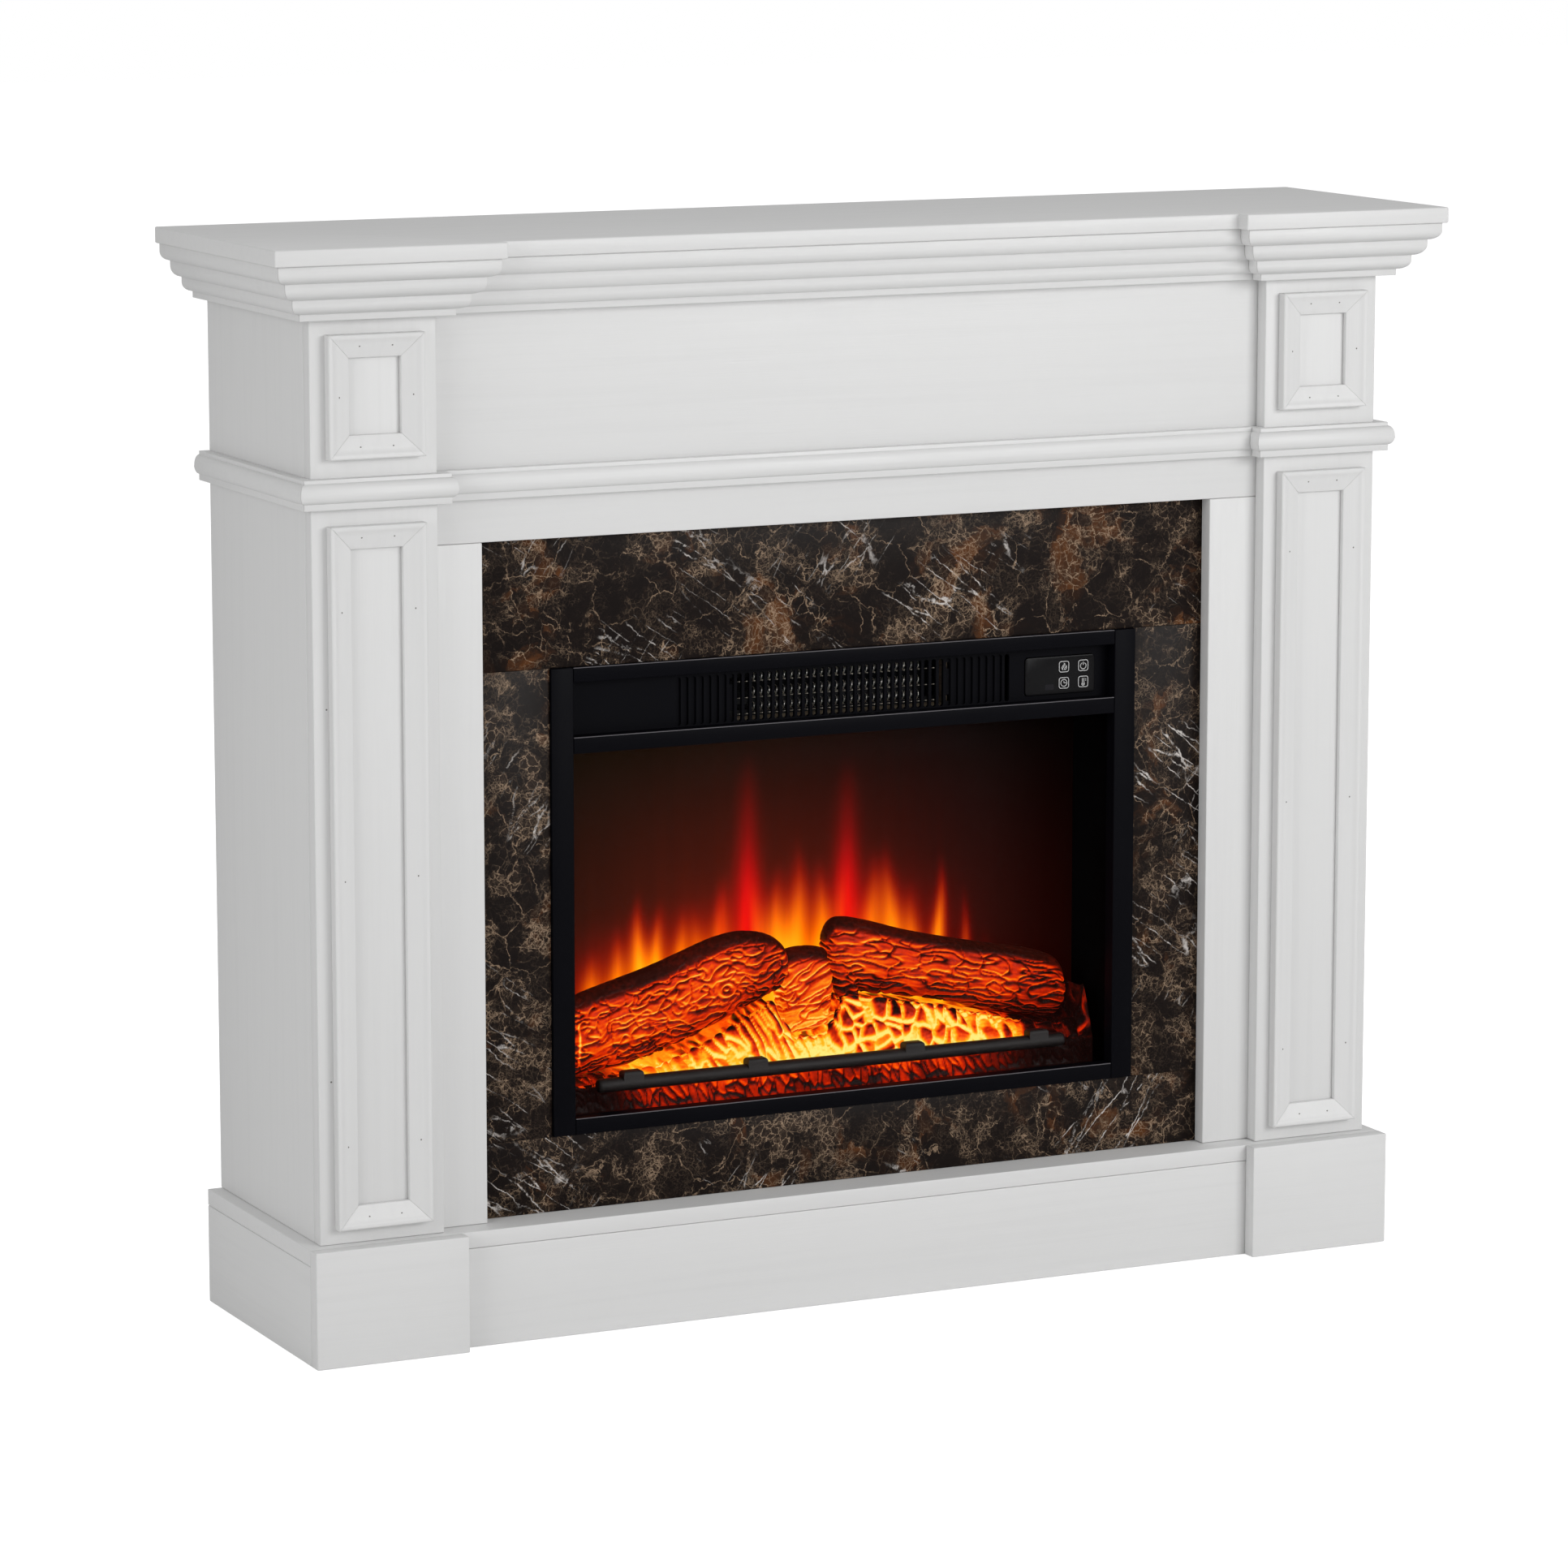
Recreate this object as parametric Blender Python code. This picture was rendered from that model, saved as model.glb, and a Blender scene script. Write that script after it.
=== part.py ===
"""Electric fireplace: a painted mantel surround with marble panels and a plug-in heater insert.

Metres, +Z up.  The origin is on the floor under the middle of the shelf's outline.  The front faces
-Y and the back plane is at y = +DEPTH / 2.  Sizes that can be set by themselves are the named values
below; every piece takes its place from them and from a named clearance.
"""
import math

import bmesh
import bpy
from mathutils import Vector

# ---- overall -----------------------------------------------------------------------------------
WIDTH = 1.1536            # shelf, end to end
HEIGHT = 0.980            # floor to shelf top
DEPTH = 0.296             # wall to the front of the shelf's end blocks
GAP = 0.0003              # clearance between pieces that touch
BOARD = 0.015             # thickness of every mantel board
SMOOTH_ANGLE = 35.0       # degrees; a sharper edge stays sharp
SAME_POINT = 1e-5

# ---- mantel ------------------------------------------------------------------------------------
SHELF_T = 0.0145
SHELF_OVERHANG = 0.0481   # shelf edge beyond the face under it
PILASTER_W = 0.1171
STILE_REVEAL = 0.0479     # stile that shows between a pilaster and the marble
PLINTH_H = 0.105
PLINTH_SIDE_LIP = 0.0129  # plinth beyond the post's side
PLINTH_FRONT_LIP = 0.0077  # base board beyond the pilaster's face
BLOCK_LIP = 0.0142        # plinth block beyond the pilaster's inner edge
HEADER_DROP = 0.266       # shelf top to the header's lower edge
BACK_RAIL_H = 0.100

# crown moulding: (projection, fillet height, ovolo height) of each step, from the shelf down
CROWN_STEPS = ((0.0440, 0.0070, 0.0083), (0.0343, 0.0047, 0.0101), (0.0238, 0.0050, 0.0082))
CROWN_FOOT = (0.0136, 0.0059)      # projection and height of the lowest fillet
OVOLO_SEGMENTS = 4
CENTRE_JOINT = 0.00045    # gap at each end of the centre mouldings

CHAIR_RAIL_DROP = 0.227   # shelf top to the chair rail's lower edge
CHAIR_FILLET = (0.0102, 0.0058)    # projection and height of the lower fillet
CHAIR_TORUS = (0.0048, 0.0174)     # bulge and height of the rounded middle
CHAIR_CAP = (0.0099, 0.0033)       # projection and height of the upper fillet
TORUS_SEGMENTS = 8

# panel mouldings: (inward from the outer edge, proud of the pilaster) along the top surface
FRAME_PROFILE = ((0.0, 0.0092), (0.0012, 0.0104), (0.0038, 0.0103), (0.0095, 0.0086), (0.0155, 0.0064),
                 (0.0204, 0.0050))
FRAME_SIDE_MARGIN = 0.0140
UPPER_FRAME_MARGINS = (0.0160, 0.0135)   # above the chair rail, below the crown
LOWER_FRAME_MARGINS = (0.0140, 0.0150)   # above the plinth, below the chair rail

# ---- marble ------------------------------------------------------------------------------------
MARBLE_T = 0.012
MARBLE_LAP = 0.020        # hidden behind the header and the stiles
MARBLE_FIT = 0.0005       # round the insert's trim

# ---- insert ------------------------------------------------------------------------------------
INSERT_W = 0.5872
INSERT_H = 0.4223
INSERT_SILL = 0.0688      # plinth top to the trim's lower edge
TRIM_PROUD = 0.0030       # trim beyond the marble
TRIM_D = 0.015
TRIM_WALL = 0.0012
TRIM_STILE_W = 0.0213
TRIM_TOP_H = 0.0133
TRIM_MIDDLE_H = 0.0149
TRIM_BOTTOM_H = 0.0147
BAY_H = 0.0492            # heater bay between the top and middle rails
CASE_D = 0.140
CASE_INSET = 0.005        # case inside the trim's outline
SHEET = 0.0015
INNER_FIT = 0.0005        # parts slid into the case
GLASS_T = 0.004
BRACKET_H = 0.260
BRACKET_LEG = 0.032
REAR_SLOTS = 12
REAR_SLOT = (0.006, 0.030)   # width and height of an air slot in the case's back
REAR_SLOT_PITCH = 0.016

# ---- vent panel and controls ---------------------------------------------------------------------
VENT_T = 0.0035
SLOT_PITCH = 0.00753
SLOT_FROM_STILE = 0.1085  # trim stile to the first slot's centre, at least
SLOT_FROM_CONTROL = 0.018475  # last slot's centre to the control panel
SLOT_W = 0.0047
SLOT_H = 0.0438
SLOT_RISE = 0.0009        # lowest point of a slot above the bay's floor
BLIND_SLOTS = 8           # blind slots, as grooves, on each side of the open ones; the last slot is open
BLIND_DEPTH = 0.0022
SLOT_END_SEGMENTS = 3
CONTROL_W = 0.0719
CONTROL_H = 0.0350
CONTROL_T = 0.0040
CONTROL_PROUD = 0.0015
CONTROL_FROM_STILE = 0.0140   # trim stile to the control panel's right edge
CONTROL_DROP = 0.0027     # the panel's middle below the bay's middle
CONTROL_RADIUS = 0.003
KEY = 0.0110              # side of a key
KEY_RADIUS = 0.0025
KEY_PITCH_X = 0.0201
KEY_PITCH_Z = 0.0151
KEYS_FROM_RIGHT = 0.0219  # control panel's right edge to the middle of the key group
KEY_FIT = 0.00035
KEY_PROUD = 0.0002
KEY_FLANGE = 0.0008       # flange beyond the key's sides, behind the panel
KEY_FLANGE_T = 0.0010
KEY_TRAVEL = 0.0005
BOARD_T = 0.0016          # printed circuit boards

# ---- heater and blower -------------------------------------------------------------------------
HEATER_LAP = 0.00558      # element frame beyond the pitch of the last open slot, on each side
HEATER_H = 0.050
HEATER_D = 0.014
HEATER_WALL = 0.0020
HEATER_BEHIND_VENT = 0.003
COIL_ROWS = 3
COIL_ROW_PITCH = 0.0135
COIL_WAVE = 0.017         # length of one wave
COIL_MARGIN = 0.0036      # element frame's wall to the first bend
COIL_SWING = 0.0030
COIL_WIRE = 0.0012
HOUSING_LAP = 0.004       # housing beyond the element frame
HOUSING_H = 0.052
HOUSING_WALL = 0.0025
HOUSING_BEHIND_HEATER = 0.003
OUTLET_H = 0.036
WHEEL_R = 0.0205
WHEEL_CLEARANCE = 0.002
BLADE_DEPTH = 0.005
BLADES = 16
WHEEL_DISC_T = 0.002
SHAFT_R = 0.0030
SHAFT_FIT = 0.00015
MOTOR_R = 0.022
MOTOR_L = 0.034
MOTOR_BORE = 0.018
ROUND = 24                # sides of a small round piece

# ---- flame effect ------------------------------------------------------------------------------
SCREEN_T = 0.003
SCREEN_BACK = 0.087       # glass back to the screen's front
SPINDLE_BEHIND_SCREEN = 0.022
SPINDLE_RISE = 0.055      # case floor to the spindle's axis
REFLECTOR_R = 0.012
REFLECTOR_CORE = 0.005
REFLECTORS = 9
REFLECTOR_SHARE = 0.7     # a reflector's length over the pitch
SPINDLE_TIP_R = 0.0020
SPINDLE_MOTOR_R = 0.022
SPINDLE_MOTOR_L = 0.018
SPINDLE_MOTOR_BORE = 0.010
LED_H = 0.018
LED_MARGIN = 0.0213       # trim stile to the light board's end

# ---- fuel bed ----------------------------------------------------------------------------------
BAR_R = 0.0065
BAR_BEHIND_GLASS = 0.0025
BAR_RISE = 0.0293         # case floor to the bar's axis
BAR_LEFT = 0.0330         # trim stile to the bar's end
BAR_RIGHT = 0.0360
DRAWN_W = 0.5446          # firebox width that the x of the logs, the embers and the lugs is drawn for
BAR_KNOBS = (-0.205, -0.081, 0.079, 0.208)
KNOB_W = 0.020
KNOB_H = 0.0055
KNOB_FROM = 0.3           # a lug is what lies above this share of the bar's radius
BED_BEHIND_BAR = 0.0008
BED_FRONT_D = 0.026       # thickness of the ember mound in front of the logs
BED_BACK_D = 0.036        # ledge under the logs
BED_STATIONS = 25
BANK_X = 0.010            # ember bank: its peak, half width, height, and foot below the bar's axis
BANK_HALF_W = 0.130
BANK_H = 0.043
BANK_FOOT = 0.004
BANK_LUMPS = ((0.0025, 140.0, 0.0), (0.0015, 310.0, 1.0))    # height, waves in radians per metre, phase
BANK_SECTION = ((0.35, -0.004), (0.7, 0.0), (1.0, -0.006))   # share of the front depth, drop from the top
LOG_HALF_DEPTH = 0.017
LOG_END_SHARE = 0.75      # depth of a log's end over its middle
LOG_SIDES = 12
LOG_REST = 0.0030         # ledge under the lowest point of a log
# logs: stations of (x, lower edge above the case floor, upper edge above the case floor)
LOG_LEFT = ((-0.2530, 0.0330, 0.0960), (-0.2450, 0.0280, 0.1030), (-0.2150, 0.0290, 0.1120),
            (-0.1750, 0.0360, 0.1220), (-0.1350, 0.0480, 0.1350), (-0.1000, 0.0620, 0.1480),
            (-0.0700, 0.0780, 0.1520), (-0.0500, 0.0870, 0.1440), (-0.0385, 0.0950, 0.1300))
LOG_MIDDLE = ((-0.0370, 0.0600, 0.1240), (-0.0300, 0.0520, 0.1300), (-0.0120, 0.0500, 0.1320),
              (0.0050, 0.0540, 0.1280), (0.0095, 0.0600, 0.1220))
LOG_RIGHT = ((0.0110, 0.0900, 0.1420), (0.0200, 0.0850, 0.1580), (0.0500, 0.0800, 0.1520),
             (0.0900, 0.0740, 0.1380), (0.1400, 0.0620, 0.1260), (0.1900, 0.0500, 0.1160),
             (0.2350, 0.0410, 0.1070), (0.2530, 0.0420, 0.0980), (0.2600, 0.0480, 0.0870))

# ---- mains inlet -------------------------------------------------------------------------------
GLAND_FROM_SIDE = 0.045
GLAND_RISE = 0.040
GLAND_BORE_R = 0.0035
GLAND_NECK_R = 0.0062
GLAND_FLANGE_R = 0.0100
GLAND_NUT = 0.004
GLAND_FLANGE_T = 0.006
GLAND_DOME = 0.006
GLAND_LIP = 0.002

# ---- levels and faces worked out from the sizes above --------------------------------------------
X_SHELF = WIDTH / 2
X_POST = X_SHELF - SHELF_OVERHANG
X_PILASTER_IN = X_POST - PILASTER_W
X_REVEAL = X_PILASTER_IN - STILE_REVEAL
X_PLINTH = X_POST + PLINTH_SIDE_LIP
X_BLOCK_IN = X_PILASTER_IN - BLOCK_LIP
X_BETWEEN_SIDES = X_POST - BOARD - GAP
Y_BACK = DEPTH / 2
Y_SHELF = -DEPTH / 2
Y_PILASTER = Y_SHELF + SHELF_OVERHANG
Y_HEADER = Y_PILASTER + BOARD + GAP
Y_MARBLE = Y_HEADER + BOARD + GAP
Y_BASE = Y_PILASTER - PLINTH_FRONT_LIP
Z_SHELF = HEIGHT - SHELF_T
Z_POST_LOW = PLINTH_H + GAP
Z_POST_HIGH = Z_SHELF - GAP
Z_HEADER = HEIGHT - HEADER_DROP
CROWN_H = sum(step[1] + step[2] for step in CROWN_STEPS) + CROWN_FOOT[1]
Z_CROWN = Z_SHELF - CROWN_H
Z_CHAIR = HEIGHT - CHAIR_RAIL_DROP
Z_CHAIR_TOP = Z_CHAIR + CHAIR_FILLET[1] + CHAIR_TORUS[1] + CHAIR_CAP[1]

X_INSERT = INSERT_W / 2
X_TRIM_IN = X_INSERT - TRIM_STILE_W
Z_INSERT = PLINTH_H + INSERT_SILL
Z_INSERT_TOP = Z_INSERT + INSERT_H
Z_BAY_TOP = Z_INSERT_TOP - TRIM_TOP_H
Z_BAY = Z_BAY_TOP - BAY_H
Y_TRIM = Y_MARBLE - TRIM_PROUD
Y_CASE = Y_TRIM + TRIM_D + GAP
Y_CASE_BACK = Y_CASE + CASE_D
X_CASE = X_INSERT - CASE_INSET
X_CASE_IN = X_CASE - SHEET
Z_CASE = Z_INSERT + CASE_INSET
Z_CASE_TOP = Z_INSERT_TOP - CASE_INSET
Z_FLOOR = Z_CASE + SHEET
Z_SHELF_PLATE = Z_BAY - TRIM_MIDDLE_H / 2       # plate between the firebox and the heater bay
Z_BAY_FLOOR = Z_SHELF_PLATE + SHEET
Z_BAY_ROOF = Z_CASE_TOP - SHEET
Y_GLASS_BACK = Y_CASE + GLASS_T
Y_VENT_BACK = Y_CASE + VENT_T
Z_SLOT = Z_BAY + SLOT_RISE

X_CONTROL = X_TRIM_IN - CONTROL_FROM_STILE      # right edge of the control panel
Z_CONTROL = (Z_BAY + Z_BAY_TOP) / 2 - CONTROL_DROP
Y_CONTROL = Y_CASE - CONTROL_PROUD
X_KEYS = X_CONTROL - KEYS_FROM_RIGHT
Y_CONTROL_BACK = Y_CONTROL + CONTROL_T
Y_KEY_FLANGE = Y_CONTROL_BACK + GAP
Y_CONTROL_BOARD = Y_KEY_FLANGE + KEY_FLANGE_T + KEY_TRAVEL + GAP

X_LAST_SLOT = X_CONTROL - CONTROL_W - SLOT_FROM_CONTROL
SLOT_COUNT = 1 + int((X_LAST_SLOT + X_TRIM_IN - SLOT_FROM_STILE) / SLOT_PITCH)
X_FIRST_SLOT = X_LAST_SLOT - (SLOT_COUNT - 1) * SLOT_PITCH
X_HEATER = (X_FIRST_SLOT + X_LAST_SLOT - SLOT_PITCH) / 2
HEATER_W = (SLOT_COUNT - 1 - 2 * BLIND_SLOTS) * SLOT_PITCH + 2 * HEATER_LAP
COIL_WAVES = round(HEATER_W / COIL_WAVE)

Z_BAY_MIDDLE = (Z_BAY_FLOOR + Z_BAY_ROOF) / 2
Y_HEATER = Y_VENT_BACK + HEATER_BEHIND_VENT
Y_HOUSING = Y_HEATER + HEATER_D + HOUSING_BEHIND_HEATER
WHEEL_BORE_R = WHEEL_R + WHEEL_CLEARANCE
Y_WHEEL = Y_HOUSING + HOUSING_WALL + WHEEL_BORE_R
HOUSING_D = 2 * (HOUSING_WALL + WHEEL_BORE_R)
X_HOUSING = HEATER_W / 2 + HOUSING_LAP
X_WHEEL = X_HOUSING - HOUSING_WALL - WHEEL_CLEARANCE

Y_SCREEN = Y_GLASS_BACK + SCREEN_BACK
Y_SPINDLE = Y_SCREEN + SCREEN_T + SPINDLE_BEHIND_SCREEN
Z_SPINDLE = Z_FLOOR + SPINDLE_RISE
X_SPINDLE_MOTOR = X_CASE_IN - INNER_FIT - SPINDLE_MOTOR_L

Y_BAR = Y_GLASS_BACK + BAR_BEHIND_GLASS + BAR_R
Z_BAR = Z_FLOOR + BAR_RISE
Y_BED = Y_BAR + BAR_R + BED_BEHIND_BAR
Y_BED_STEP = Y_BED + BED_FRONT_D
Y_BED_BACK = Y_BED_STEP + BED_BACK_D
Y_LOG = Y_BED_STEP + GAP + LOG_HALF_DEPTH
Z_BED = Z_FLOOR + INNER_FIT
STRETCH = 2 * X_TRIM_IN / DRAWN_W               # of the fuel bed along x, with the firebox


# ---- helpers -----------------------------------------------------------------------------------
def clear_scene():
    for obj in list(bpy.data.objects):
        bpy.data.objects.remove(obj, do_unlink=True)


def make_material(name, colour, roughness, metallic=0.0, alpha=1.0):
    material = bpy.data.materials.new(name)
    material.use_nodes = True
    shader = material.node_tree.nodes["Principled BSDF"]
    shader.inputs["Base Color"].default_value = (*colour, 1.0)
    shader.inputs["Roughness"].default_value = roughness
    shader.inputs["Metallic"].default_value = metallic
    shader.inputs["Alpha"].default_value = alpha
    material.diffuse_color = (*colour, alpha)
    return material


def add_object(name, bm, material, origin=(0.0, 0.0, 0.0), smooth=False):
    """Turn a bmesh in world coordinates into an object whose origin is at `origin`."""
    bmesh.ops.recalc_face_normals(bm, faces=bm.faces[:])
    bmesh.ops.translate(bm, verts=bm.verts[:], vec=-Vector(origin))
    mesh = bpy.data.meshes.new(name)
    bm.to_mesh(mesh)
    bm.free()
    mesh.materials.append(material)
    if smooth:
        mesh.shade_smooth()
        mesh.set_sharp_from_angle(angle=math.radians(SMOOTH_ANGLE))
    obj = bpy.data.objects.new(name, mesh)
    obj.location = origin
    bpy.context.scene.collection.objects.link(obj)
    return obj


def skin(bm, loops, closed=False):
    """Join equal loops of points, in order, into one shell; the two ends are capped if it is open."""
    rings = []
    for loop in loops:
        rings.append([bm.verts.new(point) for point in loop])
    count = len(rings[0])
    pairs = list(zip(rings, rings[1:]))
    if closed:
        pairs.append((rings[-1], rings[0]))
    for first, second in pairs:
        for i in range(count):
            j = (i + 1) % count
            bm.faces.new((first[i], first[j], second[j], second[i]))
    if not closed:
        bm.faces.new(rings[0])
        bm.faces.new(list(reversed(rings[-1])))


def add_skin(name, loops, material, closed=False, origin=(0.0, 0.0, 0.0), smooth=False):
    bm = bmesh.new()
    skin(bm, loops, closed)
    return add_object(name, bm, material, origin, smooth)


def box_loops(low, high):
    (x0, y0, z0), (x1, y1, z1) = low, high
    corners = ((x0, y0), (x1, y0), (x1, y1), (x0, y1))
    return [[(x, y, z) for x, y in corners] for z in (z0, z1)]


def add_box(name, low, high, material, origin=(0.0, 0.0, 0.0)):
    return add_skin(name, box_loops(low, high), material, origin=origin)


def prism_loops(outline, axis, start, end):
    """The loops of an outline drawn in the two other axes and pushed along `axis`."""
    place = {"X": lambda a, b, t: (t, a, b), "Y": lambda a, b, t: (a, t, b), "Z": lambda a, b, t: (a, b, t)}
    return [[place[axis](a, b, t) for a, b in outline] for t in (start, end)]


def add_cutter(name, solids):
    """One hidden object that holds several closed solids, each given by its loops."""
    bm = bmesh.new()
    for loops in solids:
        skin(bm, loops)
    bmesh.ops.recalc_face_normals(bm, faces=bm.faces[:])
    mesh = bpy.data.meshes.new(name)
    bm.to_mesh(mesh)
    bm.free()
    cutter = bpy.data.objects.new(name, mesh)
    cutter.hide_render = True
    cutter.display_type = "WIRE"
    bpy.context.scene.collection.objects.link(cutter)
    return cutter


def cut(obj, cutter_name, solids):
    modifier = obj.modifiers.new(cutter_name, "BOOLEAN")
    modifier.operation = "DIFFERENCE"
    modifier.solver = "EXACT"
    modifier.object = add_cutter(cutter_name, solids)


def circle(radius, sides=ROUND, centre=(0.0, 0.0)):
    points = []
    for i in range(sides):
        angle = 2 * math.pi * i / sides
        points.append((centre[0] + radius * math.cos(angle), centre[1] + radius * math.sin(angle)))
    return points


def rounded_rectangle(low, high, radius, segments=3):
    centres = ((high[0] - radius, high[1] - radius, 0), (low[0] + radius, high[1] - radius, 90),
               (low[0] + radius, low[1] + radius, 180), (high[0] - radius, low[1] + radius, 270))
    points = []
    for a, b, start in centres:
        for i in range(segments + 1):
            angle = math.radians(start + 90 * i / segments)
            points.append((a + radius * math.cos(angle), b + radius * math.sin(angle)))
    return points


def along_x(section, x, centre):
    """A loop in the plane at x, from (y, z) points about `centre`."""
    return [(x, centre[0] + a, centre[1] + b) for a, b in section]


def turned_x(stations, centre, sides=ROUND):
    """The loops of a turned piece about an X axis through `centre`, from (x, radius) stations."""
    return [along_x(circle(radius, sides), x, centre) for x, radius in stations]


# ---- mantel ------------------------------------------------------------------------------------
def mirrored(side, low, high):
    """A box given on the +X side, on the side asked for."""
    if side > 0:
        return low, high
    return (-high[0], low[1], low[2]), (-low[0], high[1], high[2])


def shelf_outline():
    step = X_PILASTER_IN - SHELF_OVERHANG
    y_centre = Y_HEADER - SHELF_OVERHANG
    half = [(step, y_centre), (step, Y_SHELF), (X_SHELF, Y_SHELF), (X_SHELF, Y_BACK)]
    return [(-x, y) for x, y in reversed(half)] + half


def face_path():
    """The plan line that the crown and the chair rail follow, with the miter vector at each corner."""
    half = [(-X_POST, Y_BACK), (-X_POST, Y_PILASTER), (-X_PILASTER_IN, Y_PILASTER),
            (-X_PILASTER_IN, Y_HEADER)]
    corners = half + [(-x, y) for x, y in reversed(half)]
    normals = []
    for (xa, ya), (xb, yb) in zip(corners, corners[1:]):
        length = math.hypot(xb - xa, yb - ya)
        normals.append(((yb - ya) / length, -(xb - xa) / length))
    normals = [normals[0]] + normals + [normals[-1]]
    path = []
    for corner, first, second in zip(corners, normals, normals[1:]):
        share = 1.0 + first[0] * second[0] + first[1] * second[1]
        path.append((corner, ((first[0] + second[0]) / share, (first[1] + second[1]) / share)))
    return path


def moulding_loops(profile, path, shift=(0.0, 0.0)):
    """Loops of a moulding; `shift` moves the first and last corner along X, for the joint's gap."""
    moves = [0.0] * len(path)
    moves[0], moves[-1] = shift
    loops = []
    for ((x, y), (mx, my)), move in zip(path, moves):
        loops.append([(x + move + out * mx, y + out * my, z) for out, z in profile])
    return loops


def crown_profile():
    z = Z_POST_HIGH
    points = [(GAP, z)]
    inner = [step[0] for step in CROWN_STEPS[1:]] + [CROWN_FOOT[0]]
    for (out, fillet, ovolo), next_out in zip(CROWN_STEPS, inner):
        points.append((out, z))
        z_curve = z - fillet
        for i in range(OVOLO_SEGMENTS + 1):
            angle = 0.5 * math.pi * i / OVOLO_SEGMENTS
            across = next_out + (out - next_out) * math.cos(angle)
            points.append((across, z_curve - ovolo * math.sin(angle)))
        z = z_curve - ovolo
    points.append((CROWN_FOOT[0], z - CROWN_FOOT[1]))
    points.append((GAP, z - CROWN_FOOT[1]))
    return without_doubles(points)


def without_doubles(points):
    kept = []
    for point in points:
        if not kept or math.dist(point, kept[-1]) > SAME_POINT:
            kept.append(point)
    return kept


def chair_profile():
    fillet_out, fillet_h = CHAIR_FILLET
    bulge, torus_h = CHAIR_TORUS
    cap_out, cap_h = CHAIR_CAP
    z = Z_CHAIR
    points = [(GAP, z), (fillet_out, z)]
    z_middle = z + fillet_h + torus_h / 2
    for i in range(TORUS_SEGMENTS + 1):
        angle = math.pi * (i / TORUS_SEGMENTS - 0.5)
        base = fillet_out if angle < 0 else cap_out
        points.append((base + bulge * math.cos(angle), z_middle + torus_h / 2 * math.sin(angle)))
    points.append((cap_out, Z_CHAIR_TOP))
    points.append((GAP, Z_CHAIR_TOP))
    return without_doubles(points)


def build_mouldings(paint):
    path = face_path()
    ends = (CENTRE_JOINT, -CENTRE_JOINT)
    for name, profile in (("crown", crown_profile()), ("chair_rail", chair_profile())):
        add_skin(name + "_left", moulding_loops(profile, path[:4]), paint, smooth=True)
        add_skin(name + "_centre", moulding_loops(profile, path[3:5], ends), paint, smooth=True)
        add_skin(name + "_right", moulding_loops(profile, path[4:]), paint, smooth=True)


def build_panel_frame(name, side, z_low, z_high, paint):
    x_low = X_PILASTER_IN + FRAME_SIDE_MARGIN
    x_high = X_POST - FRAME_SIDE_MARGIN
    profile = [(FRAME_PROFILE[0][0], GAP), *FRAME_PROFILE, (FRAME_PROFILE[-1][0], GAP)]
    loops = []
    for across, up in ((0, 0), (1, 0), (1, 1), (0, 1)):
        loop = []
        for inward, proud in profile:
            x = x_high - inward if across else x_low + inward
            z = z_high - inward if up else z_low + inward
            loop.append((side * x, Y_PILASTER - proud, z))
        loops.append(loop)
    add_skin(name, loops, paint, closed=True)


def build_mantel(paint):
    add_skin("top_shelf", prism_loops(shelf_outline(), "Z", Z_SHELF, HEIGHT), paint)
    add_box("header_board", (-X_BETWEEN_SIDES, Y_HEADER, Z_HEADER),
            (X_BETWEEN_SIDES, Y_HEADER + BOARD, Z_POST_HIGH), paint)
    add_box("back_rail_top", (-X_BETWEEN_SIDES, Y_BACK - BOARD, Z_POST_HIGH - BACK_RAIL_H),
            (X_BETWEEN_SIDES, Y_BACK, Z_POST_HIGH), paint)
    add_box("base_board", (-X_PLINTH, Y_BASE, PLINTH_H - BOARD), (X_PLINTH, Y_BACK, PLINTH_H), paint)
    z_plinth_board = PLINTH_H - BOARD - GAP
    x_between = X_PLINTH - BOARD - GAP
    add_box("plinth_front_centre", (-x_between, Y_BASE, 0.0),
            (x_between, Y_BASE + BOARD, z_plinth_board), paint)
    for side, word in ((-1, "left"), (1, "right")):
        boxes = {
            "pilaster_": ((X_PILASTER_IN, Y_PILASTER, Z_POST_LOW), (X_POST, Y_PILASTER + BOARD, Z_POST_HIGH)),
            "side_panel_": ((X_POST - BOARD, Y_HEADER, Z_POST_LOW), (X_POST, Y_BACK, Z_POST_HIGH)),
            "stile_": ((X_REVEAL, Y_HEADER, Z_POST_LOW), (X_BETWEEN_SIDES, Y_HEADER + BOARD, Z_HEADER - GAP)),
            "plinth_front_": ((X_BLOCK_IN, Y_BASE - GAP - BOARD, 0.0), (X_PLINTH, Y_BASE - GAP, PLINTH_H)),
            "plinth_side_": ((X_PLINTH - BOARD, Y_BASE, 0.0), (X_PLINTH, Y_BACK, z_plinth_board)),
        }
        for name, corners in boxes.items():
            add_box(name + word, *mirrored(side, *corners), paint)
        build_panel_frame("panel_frame_upper_" + word, side, Z_CHAIR_TOP + UPPER_FRAME_MARGINS[0],
                          Z_CROWN - UPPER_FRAME_MARGINS[1], paint)
        build_panel_frame("panel_frame_lower_" + word, side, PLINTH_H + LOWER_FRAME_MARGINS[0],
                          Z_CHAIR - LOWER_FRAME_MARGINS[1], paint)
    build_mouldings(paint)


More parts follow.
